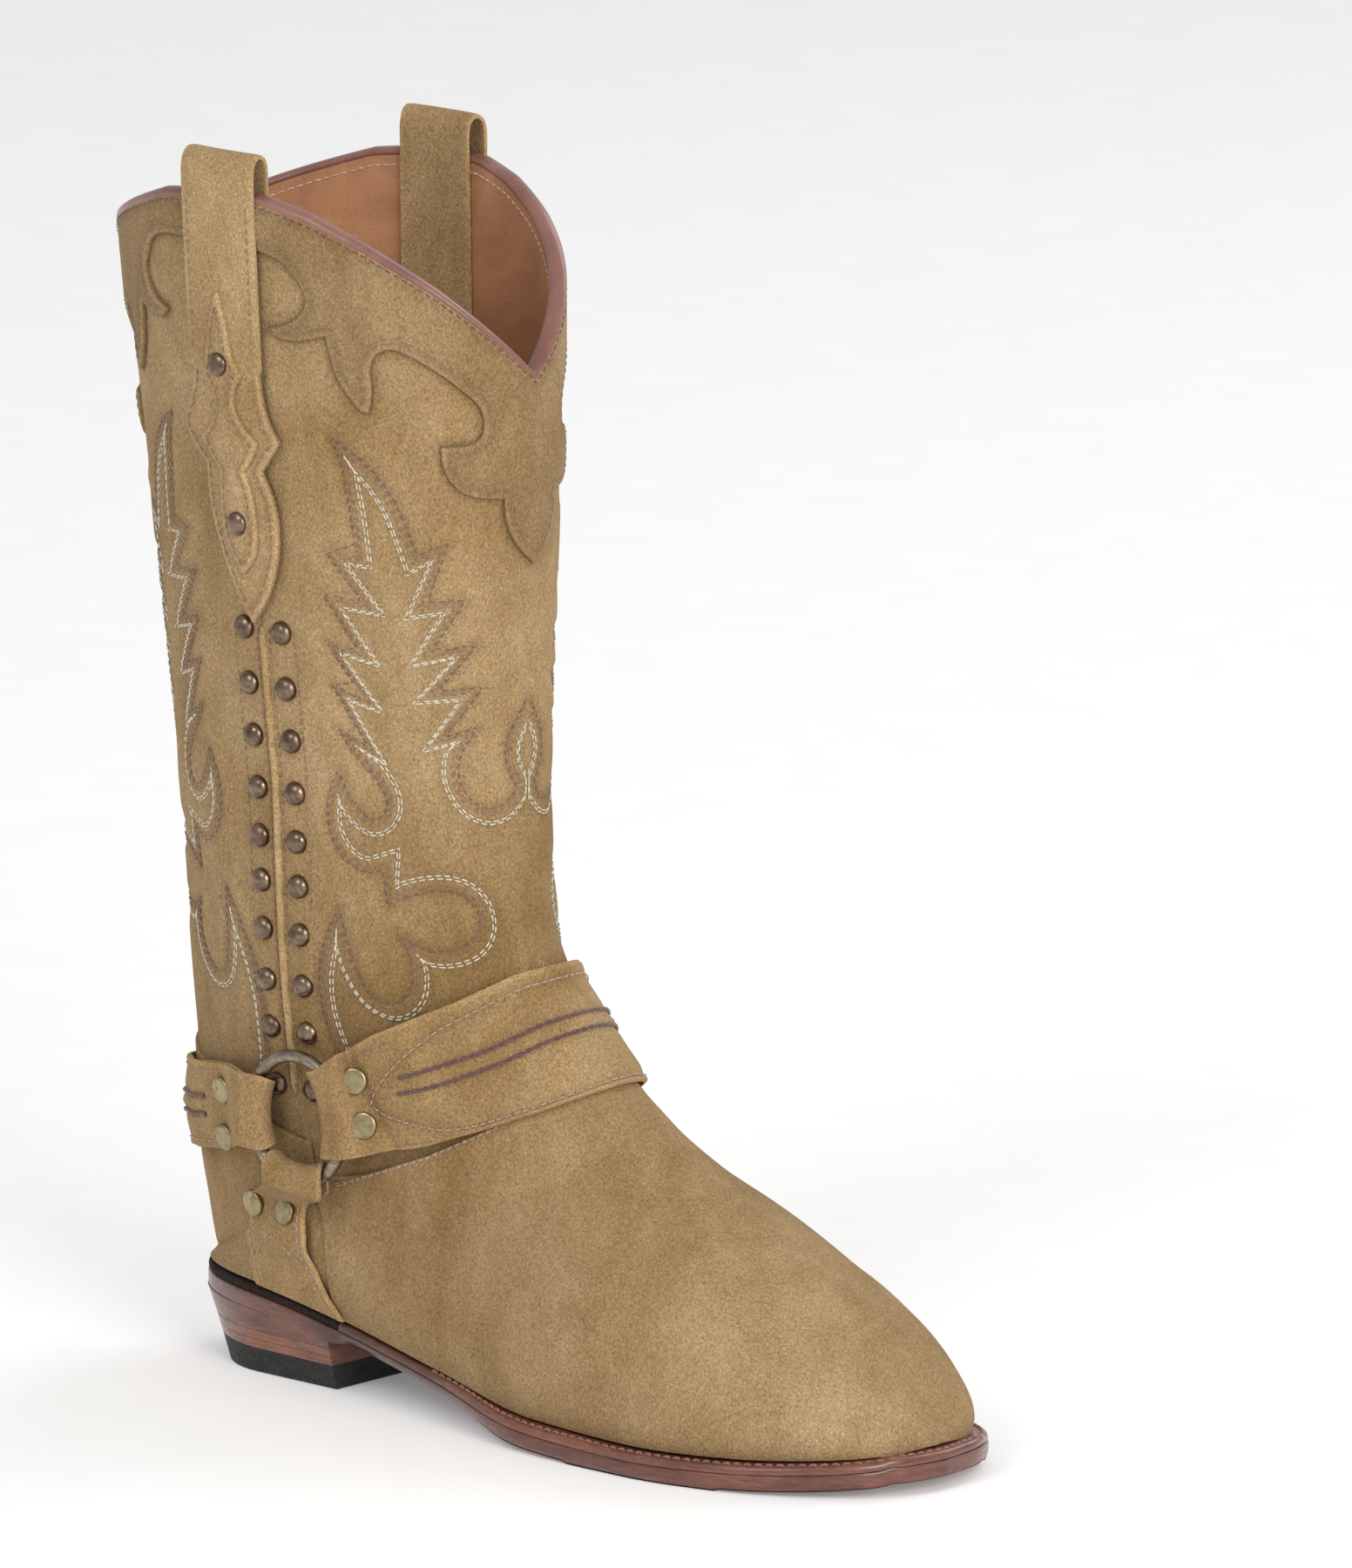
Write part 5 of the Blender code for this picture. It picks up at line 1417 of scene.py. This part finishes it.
FRONT_TOP = [(0, 6.2), (0.1, 6.2), (0.23, 6.4), (0.37, 6.55), (0.43, 6.7)]
FRONT_BOTTOM = [(0, 9.3), (0.2, 9.35), (0.31, 9.15), (0.37, 8.8), (0.43, 8.4)]
FRONT_LEAF = [
    [(0, 0.92), (0.1, 0.92), (0.2, 0.915), (0.265, 0.895), (0.315, 0.84), (0.357, 0.75), (0.386, 0.65),
     (0.405, 0.54)],
    [(0.405, 0.54), (0.388, 0.41), (0.357, 0.28), (0.315, 0.175), (0.255, 0.115), (0.2, 0.095), (0.1, 0.085),
     (0, 0.085)],
]
LEAF_SCALE = 190.0
LEAF_WIDE = 34.0
CORD_MIDDLE = 0.645
CORD_ENDS = {-1: 0.357, 1: 0.345}
CORD_APART = 0.048
FRONT_RIVETS = ((0.406, 0.755), (0.411, 0.33))
RIVET_REACH = np.array([(-0.018, 0), (0.018, 0), (0, -0.12), (0, 0.12)])
LOOP_MARKS = (0.46, 0.418)


def front_row(u, depths, under=False, mark=None):
    """A row across the instep strap at girth share u."""
    t = lerp(along(FRONT_BOTTOM, abs(u)), along(FRONT_TOP, abs(u)), SHARE)
    return layer_row(t, np.full(len(t), u), depths, under, u if mark is None else mark)


def leaf_line():
    """The leaf drawn in millimetres across and up the strap, right half."""
    return curve([[(u * LEAF_SCALE, k * LEAF_WIDE) for u, k in run] for run in FRONT_LEAF], 0.8)


LEAF = leaf_line()
LEAF_RING = np.concatenate([LEAF, (LEAF * (-1, 1))[::-1][1:]])


def front_relief(m, k):
    """Height and shade of the instep strap: the padded leaf, and the ridge between the two cords."""
    flat = np.stack([np.abs(m) * LEAF_SCALE, k * LEAF_WIDE], -1).reshape(-1, 2)
    near = to_lines(flat, LEAF).reshape(m.shape)
    within = inside(flat, LEAF_RING).reshape(m.shape)
    on = np.abs(m) < 0.416
    lift = -0.3 * bell(near, 0.9) + np.where(within, 1.05 * smooth(near / 6.5), 0.25 * bell(near - 2.2, 1.2))
    cord = smooth((0.345 - np.abs(m)) / 0.012)
    from_middle = (k - CORD_MIDDLE) * LEAF_WIDE
    groove = np.abs(from_middle) - CORD_APART * LEAF_WIDE
    lift = lift + cord * (0.9 * bell(from_middle, 1.05) - 0.5 * bell(groove, 0.7))
    # painted shade along the leaf's stitch line and in the grooves beside the cords
    tint = -0.14 * bell(near, 1.2) - 0.12 * cord * bell(groove, 0.9)
    return np.where(on, lift, 0.0), np.where(on, tint, 0.0)


def front_strap():
    rows_in = []
    for side in SIDES.values():
        part = [front_row(side * u, UNDER, True, side * OFF) for u in (0.365, 0.39, 0.408)]
        loop = [(a, b, side * OFF) for a, b, _ in loop_rows(side, 9.5, 12.6, 7.6, 21.2, 1.4, flare=4.5)]
        loop[-2:] = [(row[0], row[1], side * mark) for row, mark in zip(loop[-2:], LOOP_MARKS)]
        part += loop
        part += [front_row(side * u, OVER) for u in (0.408, 0.39, 0.365, 0.345, 0.325)]
        part += [front_row(side * u, BODY) for u in np.arange(0.29, 0.01, -0.03)]
        rows_in += part + [front_row(0.0, BODY)] if side < 0 else part[::-1]
    face = strap("front_strap_leather", rows_in, 30.0, -0.445, 0.445, front_relief, body="front_harness",
                 stands_for=["front_strap", "front_strap_overlay"])
    lines = [face.lay(ring / (LEAF_SCALE, LEAF_WIDE), 0.3) for ring in (LEAF, LEAF * (-1, 1))]
    sew("front_strap_leaf_stitches", lines, THREAD_PINK, 2.0, 0.27, 0.7, 0.2, "front_harness")
    lines = []
    for sign, end in CORD_ENDS.items():
        u = np.linspace(-end, end, 220)
        apart = CORD_APART + 0.007 * smooth((np.abs(u) - 0.2) / 0.1)
        lines.append(face.row(u, CORD_MIDDLE + sign * apart, 0.42))
    ropes("front_strap_cords", lines, "front_harness")
    lines = [face.row(side * np.linspace(0.345, 0.4, 30), k) for side in SIDES.values() for k in (0.07, 0.93)]
    sew("front_strap_edge_stitches", lines, THREAD_TAN, 2.0, 0.2, lift=0.12, body="front_harness")
    spots = [face.seat(side * u, k) for side in SIDES.values() for u, k in FRONT_RIVETS]
    rivets("front_rivets", spots, "front_harness", both_sides("front_rivet"))


def heel_row(share, depths, under=False, mark=None):
    """A row across the heel strap: share is 0 at the back and 1 or -1 near a ring."""
    k = abs(share)
    z = lerp(lerp(55, 67.5, k), lerp(83, 92, k), SHARE)
    x = lerp(back_x(z), 34, 1 - math.cos(k * math.pi / 2))
    t, u = place(x, z, -1 if share < 0 else 1)
    return layer_row(t, u, depths, under, share if mark is None else mark)


HEEL_WIDTH = 26.0
HEEL_RIVETS = ((28.5, 84), (27.5, 70))


def heel_relief(m, k):
    """Height and shade of the heel strap: a soft crown, and the ridge between the two cords."""
    reach = np.abs(m)
    on = reach < 0.8
    from_middle = (k - 0.5) * HEEL_WIDTH
    edge = HEEL_WIDTH / 2 - np.abs(from_middle)
    groove = np.abs(from_middle) - 2.7
    cord = smooth((0.77 - reach) / 0.04)
    crown = 0.7 * smooth((edge - 2.5) / 6) * smooth((0.72 - reach) / 0.1)
    lift = crown + cord * (0.9 * bell(from_middle, 1.6) - 0.5 * bell(groove, 0.8)) - 0.2 * bell(edge - 2.6, 0.7)
    # painted shade in the grooves beside the cords
    tint = -0.12 * cord * bell(groove, 1.0)
    return np.where(on, lift, 0.0), np.where(on, tint, 0.0)


def heel_strap():
    rows_in = []
    for side in SIDES.values():
        part = [heel_row(side * s, UNDER, True, side * OFF) for s in (0.72, 0.92)]
        part += [(a, b, side * OFF) for a, b, _ in loop_rows(side, 180, 10.8, 10.0, 21.8, flip=-1)]
        part += [heel_row(side * s, OVER) for s in (0.92, 0.82, 0.72, 0.62)]
        part += [heel_row(side * s, BODY) for s in (0.5, 0.4, 0.3, 0.2, 0.1)]
        rows_in += part + [heel_row(0.0, BODY)] if side < 0 else part[::-1]
    face = strap("heel_strap_leather", rows_in, HEEL_WIDTH, -0.93, 0.93, heel_relief, body="heel_harness",
                 stands_for=["heel_strap"])
    ropes("heel_strap_cords", [face.row(np.linspace(-0.76, 0.76, 220), k, 0.42) for k in (0.393, 0.607)],
          "heel_harness")
    edges = [face.row(np.linspace(-0.9, 0.9, 300), k) for k in (0.09, 0.91)]
    sew("heel_strap_edge_stitches", edges, THREAD_PINK, 1.9, 0.22, body="heel_harness")
    spots = [line_at(*place(x, z, side), OVER[1] + 0.05) for side in SIDES.values() for x, z in HEEL_RIVETS]
    rivets("heel_rivets", spots, "heel_harness", both_sides("heel_rivet"))


SOLE_RIVETS = ((37, 52), (51, 51))
SOLE_LEFT = [(24, 34), (40, 32), (50, 34), (58, 36.5)]
SOLE_RIGHT = [(22, 71), (30, 65), (40, 59.5), (50, 58), (58, 59.5)]
THIN = (COVER[1] + 0.75, COVER[1] + 2.05)
THICK = (THIN[1] + GAP, THIN[1] + GAP + 1.3)


def sole_row(z, side, depths, under=False, mark=None, foot=False):
    """A row across a sole strap at height z, or along the feather edge at its foot."""
    hidden = 2.5 if under else 0.0
    x = lerp(along(SOLE_LEFT, z) + hidden, along(SOLE_RIGHT, z) - hidden * 1.6, SHARE)
    t, u = place(x, feather_z(x) + 0.5 if foot else z, side)
    return layer_row(t, u, depths, under, z / 100 if mark is None else mark)


def sole_straps():
    for name, side in SIDES.items():
        rows_in = [sole_row(z, side, THIN, True, OFF) for z in (45, 50, 54.5)]
        rows_in += loop_rows(side, 268, 11.4, 10.4, 20.9, width_shift=0.5)
        rows_in += [sole_row(z, side, THICK) for z in (54.5, 50, 45, 41)]
        rows_in += [sole_row(z, side, THIN) for z in (36, 32, 28)]
        rows_in.append(sole_row(22, side, THIN, foot=True))
        face = strap(f"sole_strap_leather_{name}", rows_in, 28.0, 0.22, 0.545,
                     stands_for=[f"sole_strap_{name}"])
        lines = [face.row(np.linspace(0.25, 0.54, 60), k) for k in (0.08, 0.92)]
        w = np.linspace(0, 1, 30)
        lines += [face.row(lerp(0.36, 0.45, w), lerp(k, 0.5, w)) for k in (0.12, 0.88)]
        sew(f"sole_strap_stitches_{name}", lines, THREAD_PINK, 1.9, 0.22)
        spots = [line_at(*place(x, z, side), THICK[1] + 0.05) for x, z in SOLE_RIVETS]
        rivets(f"sole_rivets_{name}", spots, "boot", [f"sole_rivet_{tag}_{name}" for tag in ("back", "front")])


# ------------------------------------------------------------------ sole and heel
def feather_outline(t, side, m):
    """Plan points of the feather edge moved out by m."""
    def raw(v):
        row = rows(v)
        w = np.maximum(row[..., 6] if side < 0 else row[..., 7], 0.0)
        return np.stack([row[..., 2], row[..., 8] + side * w], -1)

    t = np.asarray(t, float)
    d = raw(np.clip(t + 0.04, HEEL_STATION, 21)) - raw(np.clip(t - 0.04, HEEL_STATION, 21))
    n = unit(np.stack([d[..., 1], -d[..., 0]], -1)) * -side
    n = np.where((t <= HEEL_STATION + 0.001)[..., None], np.array([-1.0, 0.0]), n)
    n = np.where((t >= 20.999)[..., None], np.array([1.0, 0.0]), n)
    return raw(t) + n * np.broadcast_to(m, t.shape)[..., None]


def welt_reach(t):
    return lerp(0.8, 4.6, smooth((t - 13.6) / 1.6))


def outsole_reach(t):
    return np.where(t < 12.6, 0.9, lerp(0.9, 4.8, smooth((t - 13.6) / 1.6)))


def outsole_bottom(x):
    z = feather_z(x) - 8.1
    return np.where(z < 0.5, 0.0, z)


def outsole_top(x):
    return feather_z(x) - 3.5


# edges as (how far in, share of the thickness), from the underside to the top
ARC = np.linspace(-math.pi / 2, math.pi / 2, 6)
ROUND_EDGE = [(0.55 * (1 - math.cos(v)), 0.5 + 0.5 * math.sin(v)) for v in ARC]
WELT_EDGE = [
    (0.3, 0.0), (0.06, 0.05), (0.0, 0.16), (0.0, 0.45), (0.14, 0.68), (0.5, 0.88), (1.1, 0.98), (1.7, 1.0),
]
OUTSOLE_EDGE = [
    (1.6, 0.0), (0.95, 0.05), (0.42, 0.17), (0.1, 0.38), (0.0, 0.62), (0.0, 0.86), (0.06, 0.95), (0.3, 1.0),
]
RIM_INSET = 0.9


def rounded(x, inset, share):
    """The sole's edge is round along the foot and flat where the heel stands under it."""
    return inset * (1 if share > 0.5 else lerp(0.1, 1.0, smooth((x - 62) / 10)))


def waist_tone(x):
    """Value of the shade attribute along the sole's edge: darker under the waist."""
    return 0.5 - 0.34 * smooth((x - 50) / 14) * smooth((128 - x) / 30)


def waist_cut(x):
    """How far the bottom of the sole's edge is bevelled in under the waist."""
    return 3.6 * smooth((x - 63) / 8) * smooth((150 - x) / 45)


def edge_swept(name, loops, material, **more):
    loops = np.array(loops, float)
    swept(name, loops, material, False, waist_tone(loops[..., 0]), **more)


def outsole(stations):
    """The outsole between its two plan outlines, with a shaped edge."""
    reach = outsole_reach(stations)
    loops = []
    across = np.linspace(0, 1, 8)
    for a, b in zip(*(feather_outline(stations, side, reach) for side in (-1, 1))):
        way = unit(b - a)
        wide = np.linalg.norm(b - a)

        def rim_points(corner, into, edge):
            for inset, share in edge:
                inward = rounded(corner[0], inset, share) + waist_cut(corner[0]) * (1 - share) ** 1.5
                x, y = corner + into * min(inward, wide / 4)
                yield x, y, lerp(outsole_bottom(x), outsole_top(x), share)

        points = []
        low_rim = min(RIM_INSET + waist_cut(a[0]), wide / 3)
        for k in across:
            x, y = a + way * lerp(low_rim, wide - low_rim, k)
            points.append((x, y, outsole_bottom(x)))
        points += rim_points(b, -way, OUTSOLE_EDGE)
        top_rim = min(RIM_INSET, wide / 3)
        for k in across[::-1]:
            x, y = a + way * lerp(top_rim, wide - top_rim, k)
            points.append((x, y, outsole_top(x)))
        points += rim_points(a, way, OUTSOLE_EDGE[::-1])
        loops.append(points)
    edge_swept("outsole_leather", loops, SOLE, stands_for=["outsole"], slot="sole")


WELT_TOP = -0.95
WELT_BOTTOM = -3.45
WELT_IN = -4.2


def strip(name, stations, reach, material, edge, node):
    """A strip along the feather edge with a shaped outer edge, from the lateral side to the medial one."""
    loops = []
    for t, side in [(t, -1) for t in stations] + [(t, 1) for t in stations[::-1][1:]]:
        a = feather_outline(t, side, WELT_IN)
        b = feather_outline(t, side, reach(t))
        way = unit(b - a)
        low, high = feather_z(b[0]) + WELT_BOTTOM, feather_z(b[0]) + WELT_TOP
        points = [(*a, low)]
        points += [(*(b - way * inset), lerp(low, high, share)) for inset, share in edge]
        loops.append(points + [(*a, high)])
    edge_swept(name, loops, material, stands_for=[node], slot="welt")


def sole_unit():
    outsole(np.concatenate([
        HEEL_STATION + 0.02 + 0.6 * np.linspace(0, 1, 24) ** 2, np.linspace(9.7, 20.2, 190),
        20.98 - 0.74 * np.linspace(1, 0, 26) ** 2,
    ]))
    forward = np.concatenate([np.linspace(13.04, 20.2, 170), 21 - 0.8 * np.linspace(1, 0, 40)[1:] ** 1.6])
    strip("welt_leather", forward, welt_reach, WELT, WELT_EDGE, "welt")
    lines = []
    keep = forward[forward > 13.9]
    for side in SIDES.values():
        p = feather_outline(keep, side, np.maximum(welt_reach(keep) - 1.7, 0.4))
        path = resample(np.concatenate([p, feather_z(p[:, 0])[:, None] + WELT_TOP + 0.05], 1), 0.8)
        lines.append((path, np.tile(UP, (len(path), 1))))
    sew("welt_stitches", lines, THREAD_WELT, 2.3, 0.46, lift=0.3)
    rear = np.concatenate([np.linspace(13.03, 9.6, 60), 9.0 + 0.57 * np.linspace(1, 0, 24) ** 1.6])
    strip("heel_rand_leather", rear, lambda t: 0.8, RAND, ROUND_EDGE, "heel_rand")


HEEL_BREAST_X = 62
HEEL_WIDE_X = 31
HEEL_TOP = 18.5
# the heel's outline on the ground: its back and its half width
HEEL_BACK_X = 4.5
HEEL_HALF = 27
WEDGE_LOW = 12.42
HEEL_LIFTS = [
    ("heel_top_lift", 0.0, 7.05, RUBBER, "rubber"), ("heel_lift_1", 7.1, 9.72, STACK, "stack"),
    ("heel_lift_2", 9.77, 12.37, STACK, "stack"),
]
LIFT_EDGE = [(0.0, 0.1), (0.02, 0.02), (0.08, 0.0), (0.5, 0.0), (0.92, 0.0), (0.98, 0.02), (1.0, 0.1)]


def sole_plan(side):
    """Table of the outsole's edge from the back to beyond the heel breast: share, x and half width."""
    t = np.linspace(HEEL_STATION + 0.02, 13.1, 160)
    x, y = feather_outline(t, side, outsole_reach(t)).T
    a = np.interp(x, [x[0], HEEL_WIDE_X], [0, 1])
    s = np.where(x < HEEL_WIDE_X, np.arccos(np.clip(1 - a, -1, 1)) / (math.pi / 2),
                 1 + (x - HEEL_WIDE_X) / (HEEL_BREAST_X - HEEL_WIDE_X))
    return s, x, y


SOLE_PLAN = {side: sole_plan(side) for side in SIDES.values()}


def heel_edge(z, s, side):
    """Plan point of the heel's side at height z: straight from the ground up to the outsole's edge."""
    a = min(s, 1) * math.pi / 2
    round_x = HEEL_WIDE_X - (HEEL_WIDE_X - HEEL_BACK_X) * math.cos(a)
    x0 = round_x if s < 1 else lerp(HEEL_WIDE_X, HEEL_BREAST_X, s - 1)
    y0 = side * HEEL_HALF * math.sin(a)
    shares, xs, ys = SOLE_PLAN[side]
    k = z / HEEL_TOP
    return lerp(x0, np.interp(s, shares, xs), k), lerp(y0, np.interp(s, shares, ys), k)


def heel_layer(node, low, high, material, slot):
    """A lift of the heel; high(x) is its top."""
    loops = []
    across = np.linspace(-1, 1, 9)
    for s in np.concatenate([0.05 + 0.95 * np.linspace(0, 1, 44) ** 1.25, np.linspace(1, 2, 22)[1:]]):
        top = float(high(heel_edge(low, s, -1)[0]))

        def ring_point(level, k, inset):
            z = lerp(low, top, level)
            xa, ya = heel_edge(z, s, -1)
            xb, yb = heel_edge(z, s, 1)
            half = (yb - ya) / 2 - inset
            # the breast is cut slightly hollow
            hollow = 0.9 * math.sin(math.pi * level) * smooth((s - 1.8) / 0.2) * (1 - abs(k) ** 4)
            return lerp(xa, xb, (k + 1) / 2) - hollow, (ya + yb) / 2 + half * k, z

        points = [ring_point(0, k, RIM_INSET) for k in across]
        points += [ring_point(level, 1.0, inset) for level, inset in LIFT_EDGE]
        points += [ring_point(1, k, RIM_INSET) for k in across[::-1]]
        points += [ring_point(level, -1.0, inset) for level, inset in LIFT_EDGE[::-1]]
        loops.append(points)
    swept(node + "_block", loops, material, False, stands_for=[node], slot=slot)


def heel():
    for node, low, high, material, slot in HEEL_LIFTS:
        heel_layer(node, low, lambda x, top=high: top, material, slot)
    heel_layer("heel_wedge", WEDGE_LOW, lambda x: feather_z(x) - 8.15, STACK, "stack")


# ------------------------------------------------------------------ hidden solids keep their shape
HIDDEN = {
    "toe_puff": FIBREBOARD, "counter_stiffener": FIBREBOARD, "insole": INSOLE, "insock": INSOCK,
    "cork_filler": CORK, "shank": STEEL,
}


def finish_hidden():
    for name, material in HIDDEN.items():
        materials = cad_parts[name].data.materials
        materials.clear()
        materials.append(material)


# ------------------------------------------------------------------ stage
CAMERA_AT = (3.6566, -3.8641, 1.3300)
CAMERA_AZIMUTH = 43.0
CAMERA_DROP = 12.2
LENS = 445.5


def floor():
    bpy.ops.mesh.primitive_plane_add(size=60, location=(0, 0, -0.0002))
    ground = bpy.context.object
    ground.name = "floor"
    f = Finish("floor_paper", rough=0.9, specular_ior_level=0.1)
    grain = f.noise(40, 2.0)
    f.colour(f.ramp(grain, [(0.3, (0.88, 0.88, 0.88)), (0.7, (0.9, 0.9, 0.9))]))
    f.shader.inputs["Emission Color"].default_value = (1, 1, 1, 1)
    f.shader.inputs["Emission Strength"].default_value = 0.16
    ground.data.materials.append(f.mat)


def softbox(name, place_at, aim, size, power, colour=(1, 1, 1)):
    light = bpy.data.lights.new(name, "AREA")
    light.shape = "RECTANGLE"
    light.size, light.size_y = size
    light.energy = power
    light.color = colour
    obj = bpy.data.objects.new(name, light)
    obj.location = place_at
    obj.rotation_euler = (Vector(aim) - Vector(place_at)).to_track_quat("-Z", "Y").to_euler()
    bpy.context.scene.collection.objects.link(obj)


def studio():
    world = bpy.data.worlds.new("studio")
    bpy.context.scene.world = world
    world.use_nodes = True
    world.node_tree.nodes["Background"].inputs["Color"].default_value = (1, 1, 1, 1)
    world.node_tree.nodes["Background"].inputs["Strength"].default_value = 0.58
    bpy.context.scene.view_settings.view_transform = "Standard"
    aim = (0, 0, 0.17)
    softbox("front", (2.3, -0.9, 1.1), aim, (1.2, 1.2), 40, (1.0, 0.99, 0.97))
    softbox("key", (0.1, -2.2, 1.9), aim, (1.0, 1.0), 18)
    softbox("back", (0.2, 2.0, 1.8), aim, (1.6, 1.6), 16)


def camera():
    cam = bpy.data.cameras.new("camera")
    cam.lens = LENS
    cam.sensor_width = 36
    cam.sensor_height = 36
    cam.clip_start = 0.1
    cam.clip_end = 200
    obj = bpy.data.objects.new("camera", cam)
    turn = Matrix.Rotation(math.radians(CAMERA_AZIMUTH), 4, "Z")
    tilt = Matrix.Rotation(math.radians(90 - CAMERA_DROP), 4, "X")
    obj.matrix_world = Matrix.Translation(CAMERA_AT) @ turn @ tilt
    bpy.context.scene.collection.objects.link(obj)
    bpy.context.scene.camera = obj


# ------------------------------------------------------------------ the boot
shaft()
vamp()
counter()
linings()
collar("front", FRONT, 1.0)
collar("back", BACK, BACK_SCALE["collar"])
flame("flame_front", FRONT, 1.0, FRONT_RELIEF)
flame("flame_back", BACK, BACK_SCALE["flame"], BACK_RELIEF)
top_binding()
side_seams()
for side_name, side_sign in SIDES.items():
    pull_strap(side_name, side_sign)
studs()
rings()
front_strap()
heel_strap()
sole_straps()
sole_unit()
heel()
finish_hidden()
floor()
studio()
camera()
